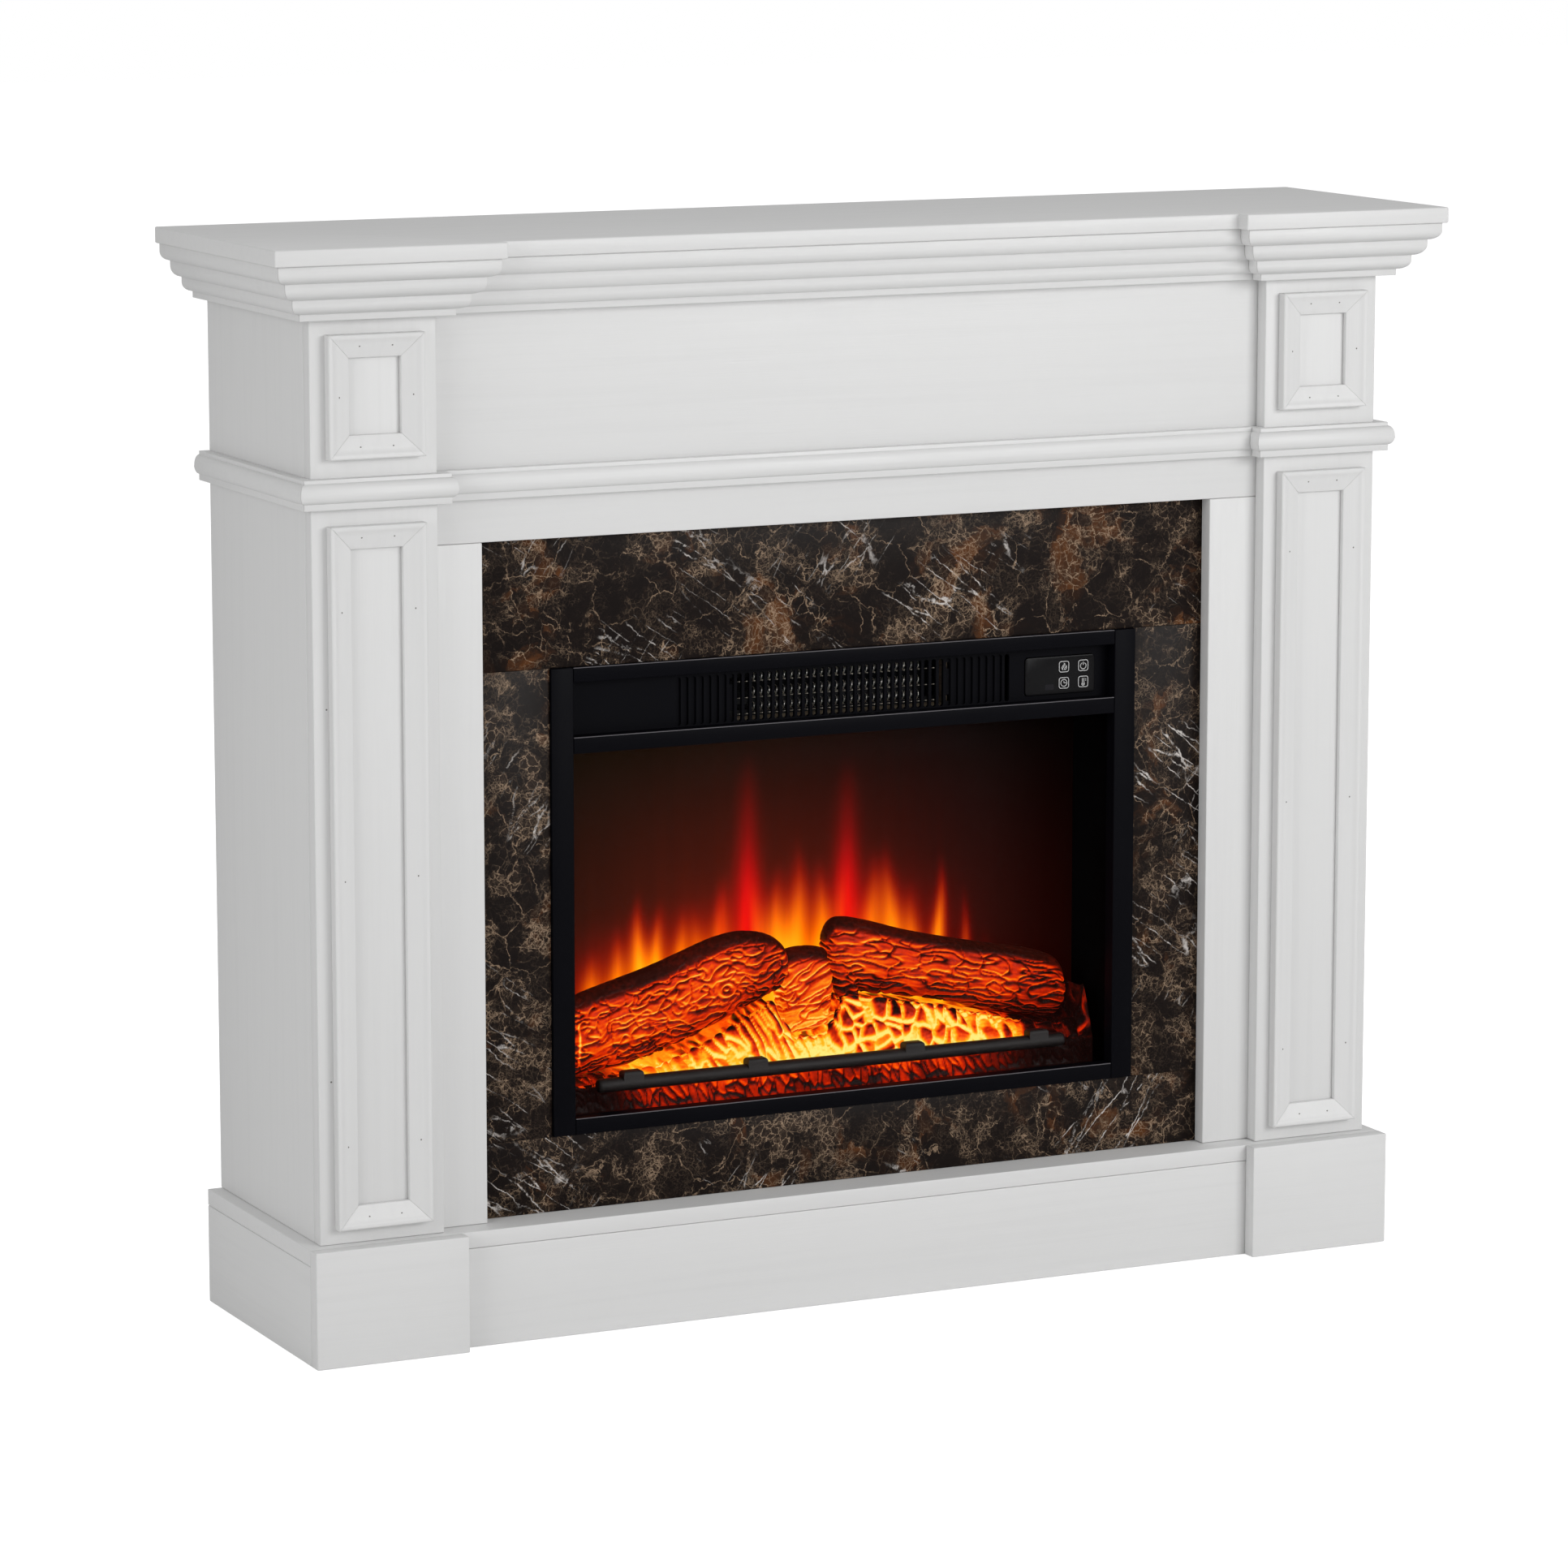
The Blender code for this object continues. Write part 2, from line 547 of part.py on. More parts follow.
def build_marble(marble):
    x_out = X_REVEAL + MARBLE_LAP
    x_in = X_INSERT + MARBLE_FIT
    z_low = Z_INSERT - MARBLE_FIT
    z_high = Z_INSERT_TOP + MARBLE_FIT
    y_back = Y_MARBLE + MARBLE_T
    add_box("marble_top", (-x_out, Y_MARBLE, z_high), (x_out, y_back, Z_HEADER + MARBLE_LAP), marble)
    add_box("marble_bottom", (-x_out, Y_MARBLE, Z_POST_LOW), (x_out, y_back, z_low), marble)
    for side, word in ((-1, "left"), (1, "right")):
        corners = mirrored(side, (x_in, Y_MARBLE, z_low + GAP), (x_out, y_back, z_high - GAP))
        add_box("marble_" + word, *corners, marble)


# ---- insert: case and trim ---------------------------------------------------------------------
def channel_outline(width, depth, wall):
    """A channel that is open to the back: (across, in) points."""
    return [(0, 0), (width, 0), (width, depth), (width - wall, depth), (width - wall, wall), (wall, wall),
            (wall, depth), (0, depth)]


def build_trim(metal):
    upright = [(x, Y_TRIM + y) for x, y in channel_outline(TRIM_STILE_W, TRIM_D, TRIM_WALL)]
    for word, x0 in (("left", -X_INSERT), ("right", X_TRIM_IN)):
        outline = [(x0 + x, y) for x, y in upright]
        add_skin("trim_" + word, prism_loops(outline, "Z", Z_INSERT, Z_INSERT_TOP), metal)
    x_rail = X_TRIM_IN - GAP
    rails = (("top", Z_BAY_TOP, TRIM_TOP_H), ("middle", Z_BAY - TRIM_MIDDLE_H, TRIM_MIDDLE_H),
             ("bottom", Z_INSERT, TRIM_BOTTOM_H))
    for word, z0, height in rails:
        outline = [(Y_TRIM + y, z0 + z) for z, y in channel_outline(height, TRIM_D, TRIM_WALL)]
        add_skin("trim_" + word, prism_loops(outline, "X", -x_rail, x_rail), metal)


def build_case(metal):
    case = add_box("insert_case", (-X_CASE, Y_CASE, Z_CASE), (X_CASE, Y_CASE_BACK, Z_CASE_TOP), metal)
    y_wall = Y_CASE_BACK - SHEET
    y_out = Y_CASE - CASE_INSET
    rooms = [box_loops((-X_CASE_IN, y_out, Z_FLOOR), (X_CASE_IN, y_wall, Z_SHELF_PLATE)),
             box_loops((-X_CASE_IN, y_out, Z_BAY_FLOOR), (X_CASE_IN, y_wall, Z_BAY_ROOF))]
    cut(case, "case_rooms_cutter", rooms)
    holes = []
    slot_w, slot_h = REAR_SLOT
    for i in range(REAR_SLOTS):
        x = (i - (REAR_SLOTS - 1) / 2) * REAR_SLOT_PITCH
        holes.append(box_loops((x - slot_w / 2, y_wall - SHEET, Z_BAY_MIDDLE - slot_h / 2),
                               (x + slot_w / 2, Y_CASE_BACK + SHEET, Z_BAY_MIDDLE + slot_h / 2)))
    gland = circle(GLAND_NECK_R + GAP, centre=gland_centre())
    holes.append(prism_loops(gland, "Y", y_wall - SHEET, Y_CASE_BACK + SHEET))
    bush = [(-X_CASE - SHEET, SPINDLE_TIP_R + SHAFT_FIT), (-X_CASE_IN + SHEET, SPINDLE_TIP_R + SHAFT_FIT)]
    holes.append(turned_x(bush, (Y_SPINDLE, Z_SPINDLE)))
    cut(case, "case_holes_cutter", holes)


def build_brackets(metal):
    """Angles that hold the case's sides to the back of the marble."""
    z_low = (Z_CASE + Z_SHELF_PLATE - BRACKET_H) / 2
    x0 = X_CASE + GAP
    y0 = Y_MARBLE + MARBLE_T + GAP
    outline = [(x0, y0), (x0 + BRACKET_LEG, y0), (x0 + BRACKET_LEG, y0 + SHEET), (x0 + SHEET, y0 + SHEET),
               (x0 + SHEET, y0 + BRACKET_LEG), (x0, y0 + BRACKET_LEG)]
    for side, word in ((-1, "left"), (1, "right")):
        points = [(side * x, y) for x, y in outline]
        add_skin("insert_bracket_" + word, prism_loops(points, "Z", z_low, z_low + BRACKET_H), metal)


def gland_centre():
    return X_CASE_IN - GLAND_FROM_SIDE, Z_FLOOR + GLAND_RISE


def build_gland(plastic):
    """Cord gland through the case's back: neck, outer flange and dome, and the nut inside."""
    y_in = Y_CASE_BACK - SHEET - GAP
    y_out = Y_CASE_BACK + GAP
    y_flange = y_out + GLAND_FLANGE_T
    y_dome = y_flange + GLAND_DOME
    stations = [(y_in - GLAND_NUT, GLAND_BORE_R), (y_in - GLAND_NUT, GLAND_FLANGE_R), (y_in, GLAND_FLANGE_R),
                (y_in, GLAND_NECK_R), (y_out, GLAND_NECK_R), (y_out, GLAND_FLANGE_R),
                (y_flange, GLAND_FLANGE_R), (y_dome, GLAND_NECK_R), (y_dome + GLAND_LIP, GLAND_BORE_R)]
    loops = []
    for y, radius in stations:
        loops.append([(x, y, z) for x, z in circle(radius, centre=gland_centre())])
    add_skin("cord_gland", loops, plastic, closed=True, smooth=True)


# ---- insert: heater bay ------------------------------------------------------------------------
def slot_outline(x):
    """A slot with round ends, as (x, z) points."""
    radius = SLOT_W / 2
    low = Z_SLOT + radius
    high = Z_SLOT + SLOT_H - radius
    points = []
    for z, start in ((high, 0.0), (low, 180.0)):
        for i in range(SLOT_END_SEGMENTS + 1):
            angle = math.radians(start + 180.0 * i / SLOT_END_SEGMENTS)
            points.append((x + radius * math.cos(angle), z + radius * math.sin(angle)))
    return points


def control_corners(grow=0.0):
    low = (X_CONTROL - CONTROL_W - grow, Z_CONTROL - CONTROL_H / 2 - grow)
    high = (X_CONTROL + grow, Z_CONTROL + CONTROL_H / 2 + grow)
    return low, high


def build_vent_panel(plastic):
    x_panel = X_CASE_IN - INNER_FIT
    panel = add_box("vent_panel", (-x_panel, Y_CASE, Z_BAY_FLOOR + INNER_FIT),
                    (x_panel, Y_VENT_BACK, Z_BAY_ROOF - INNER_FIT), plastic)
    open_slots, grooves = [], []
    last_group = range(SLOT_COUNT - 1 - BLIND_SLOTS, SLOT_COUNT - 1)
    for i in range(SLOT_COUNT):
        outline = slot_outline(X_FIRST_SLOT + i * SLOT_PITCH)
        if i < BLIND_SLOTS or i in last_group:
            grooves.append(prism_loops(outline, "Y", Y_CASE - VENT_T, Y_CASE + BLIND_DEPTH))
        else:
            open_slots.append(prism_loops(outline, "Y", Y_CASE - VENT_T, Y_VENT_BACK + VENT_T))
    low, high = control_corners(INNER_FIT)
    window = rounded_rectangle(low, high, CONTROL_RADIUS + INNER_FIT)
    open_slots.append(prism_loops(window, "Y", Y_CASE - VENT_T, Y_VENT_BACK + VENT_T))
    cut(panel, "vent_slots_cutter", open_slots)
    cut(panel, "vent_grooves_cutter", grooves)


def key_centres():
    """The middle of each key, by name."""
    centres = {}
    names = (("key_flame", -1, 1), ("key_power", 1, 1), ("key_timer", -1, -1), ("key_temperature", 1, -1))
    for name, across, up in names:
        centres[name] = (X_KEYS + across * KEY_PITCH_X / 2, Z_CONTROL + up * KEY_PITCH_Z / 2)
    return centres


def key_square(centre, grow, segments=2):
    half = KEY / 2 + grow
    low = (centre[0] - half, centre[1] - half)
    high = (centre[0] + half, centre[1] + half)
    return rounded_rectangle(low, high, KEY_RADIUS + grow, segments)


def build_controls(gloss, board):
    panel_outline = rounded_rectangle(*control_corners(), CONTROL_RADIUS)
    panel = add_skin("control_panel", prism_loops(panel_outline, "Y", Y_CONTROL, Y_CONTROL_BACK), gloss)
    holes = []
    for name, centre in key_centres().items():
        hole = key_square(centre, KEY_FIT)
        holes.append(prism_loops(hole, "Y", Y_CONTROL - CONTROL_T, Y_CONTROL_BACK + CONTROL_T))
        cap, flange = key_square(centre, 0.0), key_square(centre, KEY_FLANGE)
        y_front = Y_CONTROL - KEY_PROUD
        loops = []
        for y, outline in ((y_front, cap), (Y_KEY_FLANGE, cap), (Y_KEY_FLANGE, flange),
                           (Y_KEY_FLANGE + KEY_FLANGE_T, flange)):
            loops.append([(x, y, z) for x, z in outline])
        add_skin(name, loops, gloss, origin=(centre[0], y_front, centre[1]))
    cut(panel, "key_holes_cutter", holes)
    low, high = control_corners(-INNER_FIT)
    add_box("control_board", (low[0], Y_CONTROL_BOARD, low[1]),
            (high[0], Y_CONTROL_BOARD + BOARD_T, high[1]), board)


def coil_route():
    """The (x, z) line of the element: rows of zigzag joined at their ends, from the top row down."""
    half = HEATER_W / 2 - HEATER_WALL - COIL_MARGIN
    points = []
    for row in range(COIL_ROWS):
        z_row = Z_BAY_MIDDLE + ((COIL_ROWS - 1) / 2 - row) * COIL_ROW_PITCH
        heading = 1 if row % 2 == 0 else -1
        points.append((-heading * half, z_row))
        for i in range(2 * COIL_WAVES):
            x = -half + (i + 1) * 2 * half / (2 * COIL_WAVES + 1)
            swing = COIL_SWING if i % 2 == 0 else -COIL_SWING
            points.append((heading * x, z_row + swing))
        points.append((heading * half, z_row))
    return [(X_HEATER + x, z) for x, z in points]


def ribbon_loops(route, width, y_low, y_high):
    """A flat ribbon on edge along an (x, z) line, with mitered corners."""
    loops = []
    for i, (x, z) in enumerate(route):
        before = Vector(route[i]) - Vector(route[max(i - 1, 0)])
        after = Vector(route[min(i + 1, len(route) - 1)]) - Vector(route[i])
        if i == 0:
            before = after
        if i == len(route) - 1:
            after = before
        first, second = before.normalized(), after.normalized()
        nx, nz = -(first.y + second.y), first.x + second.x
        share = 1.0 + first.dot(second)
        dx, dz = nx / share * width / 2, nz / share * width / 2
        loops.append([(x - dx, y_low, z - dz), (x + dx, y_low, z + dz), (x + dx, y_high, z + dz),
                      (x - dx, y_high, z - dz)])
    return loops


def build_heater(mica, wire):
    half_w, half_h = HEATER_W / 2, HEATER_H / 2
    loops = []
    for grow, y in ((0.0, Y_HEATER), (0.0, Y_HEATER + HEATER_D), (-HEATER_WALL, Y_HEATER + HEATER_D),
                    (-HEATER_WALL, Y_HEATER)):
        x0, x1 = X_HEATER - half_w - grow, X_HEATER + half_w + grow
        z0, z1 = Z_BAY_MIDDLE - half_h - grow, Z_BAY_MIDDLE + half_h + grow
        loops.append([(x0, y, z0), (x1, y, z0), (x1, y, z1), (x0, y, z1)])
    add_skin("heater_frame", loops, mica, closed=True)
    y_coil = Y_HEATER + HEATER_D / 2
    coil = ribbon_loops(coil_route(), COIL_WIRE, y_coil - 2 * COIL_WIRE, y_coil + 2 * COIL_WIRE)
    add_skin("heater_coil", coil, wire)


def build_blower(metal, wheel_metal, motor_metal):
    """Crossflow blower: a housing, a wheel that spins about X in it, and the motor on its right."""
    centre = (Y_WHEEL, Z_BAY_MIDDLE)
    half_h = HOUSING_H / 2
    y_back = Y_HOUSING + HOUSING_D
    housing = add_box("blower_housing", (-X_HOUSING, Y_HOUSING, Z_BAY_MIDDLE - half_h),
                      (X_HOUSING, y_back, Z_BAY_MIDDLE + half_h), metal)
    x_room = X_HOUSING - HOUSING_WALL
    hole_r = SHAFT_R + SHAFT_FIT
    room = turned_x([(-x_room, WHEEL_BORE_R), (x_room, WHEEL_BORE_R)], centre, 2 * ROUND)
    outlet = box_loops((-x_room, Y_HOUSING - HOUSING_WALL, Z_BAY_MIDDLE - OUTLET_H / 2),
                       (x_room, Y_WHEEL, Z_BAY_MIDDLE + OUTLET_H / 2))
    inlet = box_loops((-x_room, Y_WHEEL, Z_BAY_MIDDLE),
                      (x_room, y_back + HOUSING_WALL, Z_BAY_MIDDLE + OUTLET_H / 2))
    bearings = turned_x([(-X_HOUSING - HOUSING_WALL, hole_r), (X_HOUSING + HOUSING_WALL, hole_r)], centre)
    for name, solid in (("blower_room", room), ("blower_outlet", outlet), ("blower_inlet", inlet),
                        ("blower_bearings", bearings)):
        cut(housing, name + "_cutter", [solid])
    blades = []
    sides = 2 * BLADES
    for i, (a, b) in enumerate(circle(1.0, sides)):
        radius = WHEEL_R if i % 2 == 0 else WHEEL_R - BLADE_DEPTH
        blades.append((radius * a, radius * b))
    shaft, disc = circle(SHAFT_R, sides), circle(WHEEL_R, sides)
    x_motor = X_HOUSING + GAP
    x_disc = X_WHEEL - WHEEL_DISC_T
    sections = [(-X_HOUSING - GAP, shaft), (-X_WHEEL, shaft), (-X_WHEEL, disc), (-x_disc, disc),
                (-x_disc, blades), (x_disc, blades), (x_disc, disc), (X_WHEEL, disc), (X_WHEEL, shaft),
                (x_motor + MOTOR_BORE - WHEEL_CLEARANCE, shaft)]
    loops = [along_x(section, x, centre) for x, section in sections]
    add_skin("blower_wheel", loops, wheel_metal, origin=(0.0, Y_WHEEL, Z_BAY_MIDDLE))
    stations = [(x_motor + MOTOR_BORE, hole_r), (x_motor, hole_r), (x_motor, MOTOR_R),
                (x_motor + MOTOR_L, MOTOR_R)]
    add_skin("blower_motor", turned_x(stations, centre), motor_metal, smooth=True)


# ---- insert: firebox ---------------------------------------------------------------------------
def build_panes(glass, screen_plastic):
    x_pane = X_CASE_IN - INNER_FIT
    z0, z1 = Z_FLOOR + INNER_FIT, Z_SHELF_PLATE - INNER_FIT
    add_box("glass_front", (-x_pane, Y_CASE, z0), (x_pane, Y_GLASS_BACK, z1), glass)
    add_box("flame_screen", (-x_pane, Y_SCREEN, z0), (x_pane, Y_SCREEN + SCREEN_T, z1), screen_plastic)


def build_spindle(reflector, motor_metal, board):
    """Reflector spindle that turns about X behind the screen, its motor, and the light strip."""
    centre = (Y_SPINDLE, Z_SPINDLE)
    sides = ROUND
    star = []
    for i, (a, b) in enumerate(circle(1.0, sides)):
        radius = REFLECTOR_R if i % (sides // 4) == 0 else REFLECTOR_CORE
        star.append((radius * a, radius * b))
    shaft, tip, core = circle(SHAFT_R), circle(SPINDLE_TIP_R), circle(REFLECTOR_CORE)
    x_left = -X_CASE_IN + 2 * SHEET
    x_right = X_SPINDLE_MOTOR - 2 * SHEET
    sections = [(-X_CASE_IN - SHEET / 2, tip), (x_left, tip), (x_left, core)]
    pitch = (x_right - x_left) / REFLECTORS
    for i in range(REFLECTORS):
        x0 = x_left + (i + (1 - REFLECTOR_SHARE) / 2) * pitch
        x1 = x0 + REFLECTOR_SHARE * pitch
        sections += [(x0, core), (x0, star), (x1, star), (x1, core)]
    sections += [(x_right, core), (x_right, shaft),
                 (X_SPINDLE_MOTOR + SPINDLE_MOTOR_BORE - WHEEL_CLEARANCE, shaft)]
    loops = [along_x(section, x, centre) for x, section in sections]
    add_skin("flame_spindle", loops, reflector, origin=(0.0, Y_SPINDLE, Z_SPINDLE))
    hole_r = SHAFT_R + SHAFT_FIT
    stations = [(X_SPINDLE_MOTOR + SPINDLE_MOTOR_BORE, hole_r), (X_SPINDLE_MOTOR, hole_r),
                (X_SPINDLE_MOTOR, SPINDLE_MOTOR_R), (X_SPINDLE_MOTOR + SPINDLE_MOTOR_L, SPINDLE_MOTOR_R)]
    add_skin("spindle_motor", turned_x(stations, centre), motor_metal, smooth=True)
    y_led = Y_SCREEN + SCREEN_T + GAP + BOARD_T
    x_led = X_TRIM_IN - LED_MARGIN
    add_box("led_board", (-x_led, y_led, Z_FLOOR + INNER_FIT),
            (x_led, y_led + BOARD_T, Z_FLOOR + INNER_FIT + LED_H), board)


def stretched(log):
    """A log's stations at their place in the firebox."""
    return [(x * STRETCH, low, high) for x, low, high in log]


def edge_height(log, x, which):
    """Height of a log's lower (1) or upper (2) edge over the case floor, straight between stations."""
    x = min(max(x, log[0][0]), log[-1][0])
    for first, second in zip(log, log[1:]):
        if x <= second[0]:
            share = (x - first[0]) / (second[0] - first[0])
            return first[which] + share * (second[which] - first[which])
    return log[-1][which]


def ledge_height(x):
    """Height of the ember bed's ledge, which stays below every log near x."""
    heights = []
    reach = 2 * X_TRIM_IN / (BED_STATIONS - 1)
    for log in (stretched(LOG_LEFT), stretched(LOG_MIDDLE), stretched(LOG_RIGHT)):
        if log[0][0] - reach <= x <= log[-1][0] + reach:
            near = [edge_height(log, x + step * reach, 1) for step in (-1, 0, 1)]
            heights.append(min(near) - LOG_REST)
    return min(heights) if heights else BAR_RISE


def mound_height(x):
    """Height of the embers in front of the logs: a low bank with its peak near the middle."""
    bank = math.exp(-((x / STRETCH - BANK_X) / BANK_HALF_W) ** 2)
    lumps = sum(height * math.sin(waves * x + phase) for height, waves, phase in BANK_LUMPS)
    return BAR_RISE - BANK_FOOT + BANK_H * bank + lumps


def build_fuel_bed(ember, bark, iron):
    x_end = X_TRIM_IN - INNER_FIT
    loops = []
    for i in range(BED_STATIONS):
        x = -x_end + 2 * x_end * i / (BED_STATIONS - 1)
        top = Z_FLOOR + mound_height(x)
        ledge = Z_FLOOR + ledge_height(x)
        low = min(Z_BAR - BAR_R, top)
        bank = [(Y_BED + share * BED_FRONT_D, top + drop) for share, drop in BANK_SECTION]
        section = [(Y_BED, Z_BED), (Y_BED, low), *bank, (Y_BED_STEP, ledge), (Y_BED_BACK, ledge),
                   (Y_BED_BACK, Z_BED)]
        loops.append([(x, y, z) for y, z in section])
    add_skin("ember_bed", loops, ember)
    for word, log in (("left", LOG_LEFT), ("middle", LOG_MIDDLE), ("right", LOG_RIGHT)):
        loops = []
        for station, (x, low, high) in enumerate(stretched(log)):
            end = station in (0, len(log) - 1)
            depth = LOG_HALF_DEPTH * (LOG_END_SHARE if end else 1.0)
            z = Z_FLOOR + (low + high) / 2
            section = []
            for a, b in circle(1.0, LOG_SIDES):
                section.append((x, Y_LOG + depth * a, z + (high - low) / 2 * b))
            loops.append(section)
        add_skin("log_" + word, loops, bark, smooth=True)
    build_grate(iron)


def build_grate(iron):
    """Round bar with four square lugs on top, made as one run of equal loops."""
    sides = LOG_SIDES
    bar = circle(BAR_R, sides)
    lug = []
    for a, b in bar:
        lug.append((a, b + KNOB_H if b > KNOB_FROM * BAR_R else b))
    x_start, x_stop = -X_TRIM_IN + BAR_LEFT, X_TRIM_IN - BAR_RIGHT
    sections = [(x_start, bar)]
    for knob in BAR_KNOBS:
        x0, x1 = STRETCH * knob - KNOB_W / 2, STRETCH * knob + KNOB_W / 2
        sections += [(x0, bar), (x0 + KNOB_H / 2, lug), (x1 - KNOB_H / 2, lug), (x1, bar)]
    sections.append((x_stop, bar))
    loops = [along_x(section, x, (Y_BAR, Z_BAR)) for x, section in sections]
    add_skin("grate_bar", loops, iron, smooth=True)


def main():
    clear_scene()
    paint = make_material("white_paint", (0.80, 0.80, 0.80), 0.45)
    marble = make_material("dark_marble", (0.035, 0.025, 0.020), 0.25)
    black_metal = make_material("black_trim", (0.012, 0.012, 0.016), 0.45, 0.3)
    sheet_metal = make_material("case_sheet", (0.020, 0.020, 0.022), 0.55, 0.5)
    black_plastic = make_material("black_plastic", (0.015, 0.015, 0.017), 0.5)
    gloss = make_material("gloss_black", (0.010, 0.010, 0.012), 0.12)
    board = make_material("circuit_board", (0.02, 0.12, 0.05), 0.5)
    mica = make_material("mica", (0.45, 0.36, 0.24), 0.7)
    wire = make_material("element_wire", (0.60, 0.57, 0.50), 0.3, 1.0)
    galvanised = make_material("galvanised", (0.55, 0.56, 0.58), 0.4, 1.0)
    aluminium = make_material("aluminium", (0.75, 0.75, 0.76), 0.3, 1.0)
    motor_metal = make_material("motor_steel", (0.30, 0.30, 0.31), 0.45, 1.0)
    glass = make_material("clear_glass", (0.9, 0.9, 0.9), 0.05, 0.0, 0.2)
    screen_plastic = make_material("screen_plastic", (0.10, 0.05, 0.03), 0.4)
    ember = make_material("ember_resin", (0.95, 0.35, 0.05), 0.5)
    bark = make_material("log_resin", (0.55, 0.10, 0.03), 0.5)
    iron = make_material("grate_iron", (0.02, 0.015, 0.015), 0.6, 0.4)
    build_mantel(paint)
    build_marble(marble)
    build_trim(black_metal)
    build_case(sheet_metal)
    build_brackets(galvanised)
    build_gland(black_plastic)
    build_vent_panel(black_plastic)
    build_controls(gloss, board)
    build_heater(mica, wire)
    build_blower(galvanised, aluminium, motor_metal)
    build_panes(glass, screen_plastic)
    build_spindle(aluminium, motor_metal, board)
    build_fuel_bed(ember, bark, iron)


main()
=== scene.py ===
"""Electric fireplace: the finished look of its mantel, marble, insert, heater and fuel bed.

Metres, +Z up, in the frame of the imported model.  Places come from the model's own boxes; the sizes and
colours that belong to the finish are the properties below.
"""

import math

import bmesh
import bpy
import numpy as np
from bpy.props import FloatProperty, FloatVectorProperty, IntProperty, PointerProperty
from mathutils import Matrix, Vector, noise


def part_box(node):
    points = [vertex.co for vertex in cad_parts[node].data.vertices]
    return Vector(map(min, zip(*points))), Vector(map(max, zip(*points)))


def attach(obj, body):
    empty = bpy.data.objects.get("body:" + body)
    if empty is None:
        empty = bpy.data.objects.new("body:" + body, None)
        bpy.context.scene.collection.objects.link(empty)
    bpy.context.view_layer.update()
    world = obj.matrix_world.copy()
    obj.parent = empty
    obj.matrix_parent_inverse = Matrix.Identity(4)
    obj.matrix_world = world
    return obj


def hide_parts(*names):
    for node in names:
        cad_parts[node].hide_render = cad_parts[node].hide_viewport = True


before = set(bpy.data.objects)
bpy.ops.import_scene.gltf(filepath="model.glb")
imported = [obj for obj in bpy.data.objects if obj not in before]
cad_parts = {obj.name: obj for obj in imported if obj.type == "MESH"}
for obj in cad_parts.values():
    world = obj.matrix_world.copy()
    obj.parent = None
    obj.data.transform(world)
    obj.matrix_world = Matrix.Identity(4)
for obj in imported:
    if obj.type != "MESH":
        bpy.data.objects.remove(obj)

bl_info = {
    "name": "Electric fireplace",
    "version": (1, 0, 0),
    "blender": (4, 5, 0),
    "location": "3D View > Sidebar > Fireplace",
    "description": "Builds the finished pieces of an electric fireplace in the frame of its packed model",
    "category": "Object",
}

MAIN_BODY = "fireplace"
SIDES = ((-1, "left"), (1, "right"))
KEYS = ("flame", "power", "timer", "temperature")
NOISE_SEED = 5  # noise vectors differ from run to run unless the seed is set

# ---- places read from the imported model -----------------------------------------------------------
SHELF_LOW, SHELF_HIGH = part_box("top_shelf")
POST_LOW, POST_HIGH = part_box("pilaster_right")
X_POST = POST_HIGH.x
X_POST_IN = POST_LOW.x
Y_POST = POST_LOW.y
Y_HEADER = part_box("header_board")[0].y
Y_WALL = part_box("side_panel_right")[1].y
Z_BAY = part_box("trim_middle")[1].z
HEATER_LOW, HEATER_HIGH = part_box("heater_frame")
X_HEATER = (HEATER_LOW.x + HEATER_HIGH.x) / 2

MOULDING_GAP = 0.0003  # between a moulding's back and the board it lies on
OVERCUT = 0.004  # how far a cutter reaches past the face that it cuts
CASE_SHEET = 0.0015  # thickness of the case's steel


# ---- properties ----------------------------------------------------------------------------------
def size_of(label, default, description):
    return FloatProperty(name=label, description=description, default=default, min=0.0, precision=5,
                         subtype="DISTANCE", unit="LENGTH")


def share_of(label, default, description):
    return FloatProperty(name=label, description=description, default=default, min=0.0, max=1.0,
                         subtype="FACTOR")


def colour_of(label, default, description):
    return FloatVectorProperty(name=label, description=description, default=default, size=3, min=0.0,
                               max=1.0, subtype="COLOR")


def step_of(label, default, description):
    return FloatVectorProperty(name=label, description=description, default=default, size=len(default),
                               min=0.0, precision=5, unit="LENGTH")


class MantelSettings(bpy.types.PropertyGroup):
    paint: colour_of("Paint", (0.745, 0.745, 0.742), "Colour of the satin paint")
    paint_roughness: share_of("Paint roughness", 0.42, "Roughness of the paint")
    grain: size_of("Grain depth", 0.00022, "Depth of the wood grain that shows through the paint")
    edge: size_of("Board edge", 0.0009, "Rounding of the boards' edges")
    shelf_edge: size_of("Shelf edge", 0.0014, "Rounding of the shelf's edges")
    seam: size_of("Mitre seam", 0.00012, "Half the gap of a mitre")
    moulding_edge: size_of("Moulding edge", 0.0004, "Rounding of the mouldings' edges")
    crown_1: step_of("Upper crown step", (0.0440, 0.0070, 0.0083), "Projection, fillet and ovolo height")
    crown_2: step_of("Middle crown step", (0.0343, 0.0047, 0.0101), "Projection, fillet and ovolo height")
    crown_3: step_of("Lower crown step", (0.0238, 0.0050, 0.0082), "Projection, fillet and ovolo height")
    crown_foot: step_of("Crown foot", (0.0136, 0.0059), "Projection and height of the lowest fillet")
    rail_foot: step_of("Rail foot", (0.0102, 0.0058), "Projection and height of the rail's lower fillet")
    rail_round: step_of("Rail round", (0.0048, 0.0174), "Bulge and height of the rail's rounded middle")
    rail_cap: step_of("Rail cap", (0.0099, 0.0033), "Projection and height of the rail's upper fillet")
    nail: size_of("Nail hole", 0.0008, "Radius of a filled nail hole")
    filler: colour_of("Nail filler", (0.22, 0.21, 0.20), "Colour of the filled nail holes")


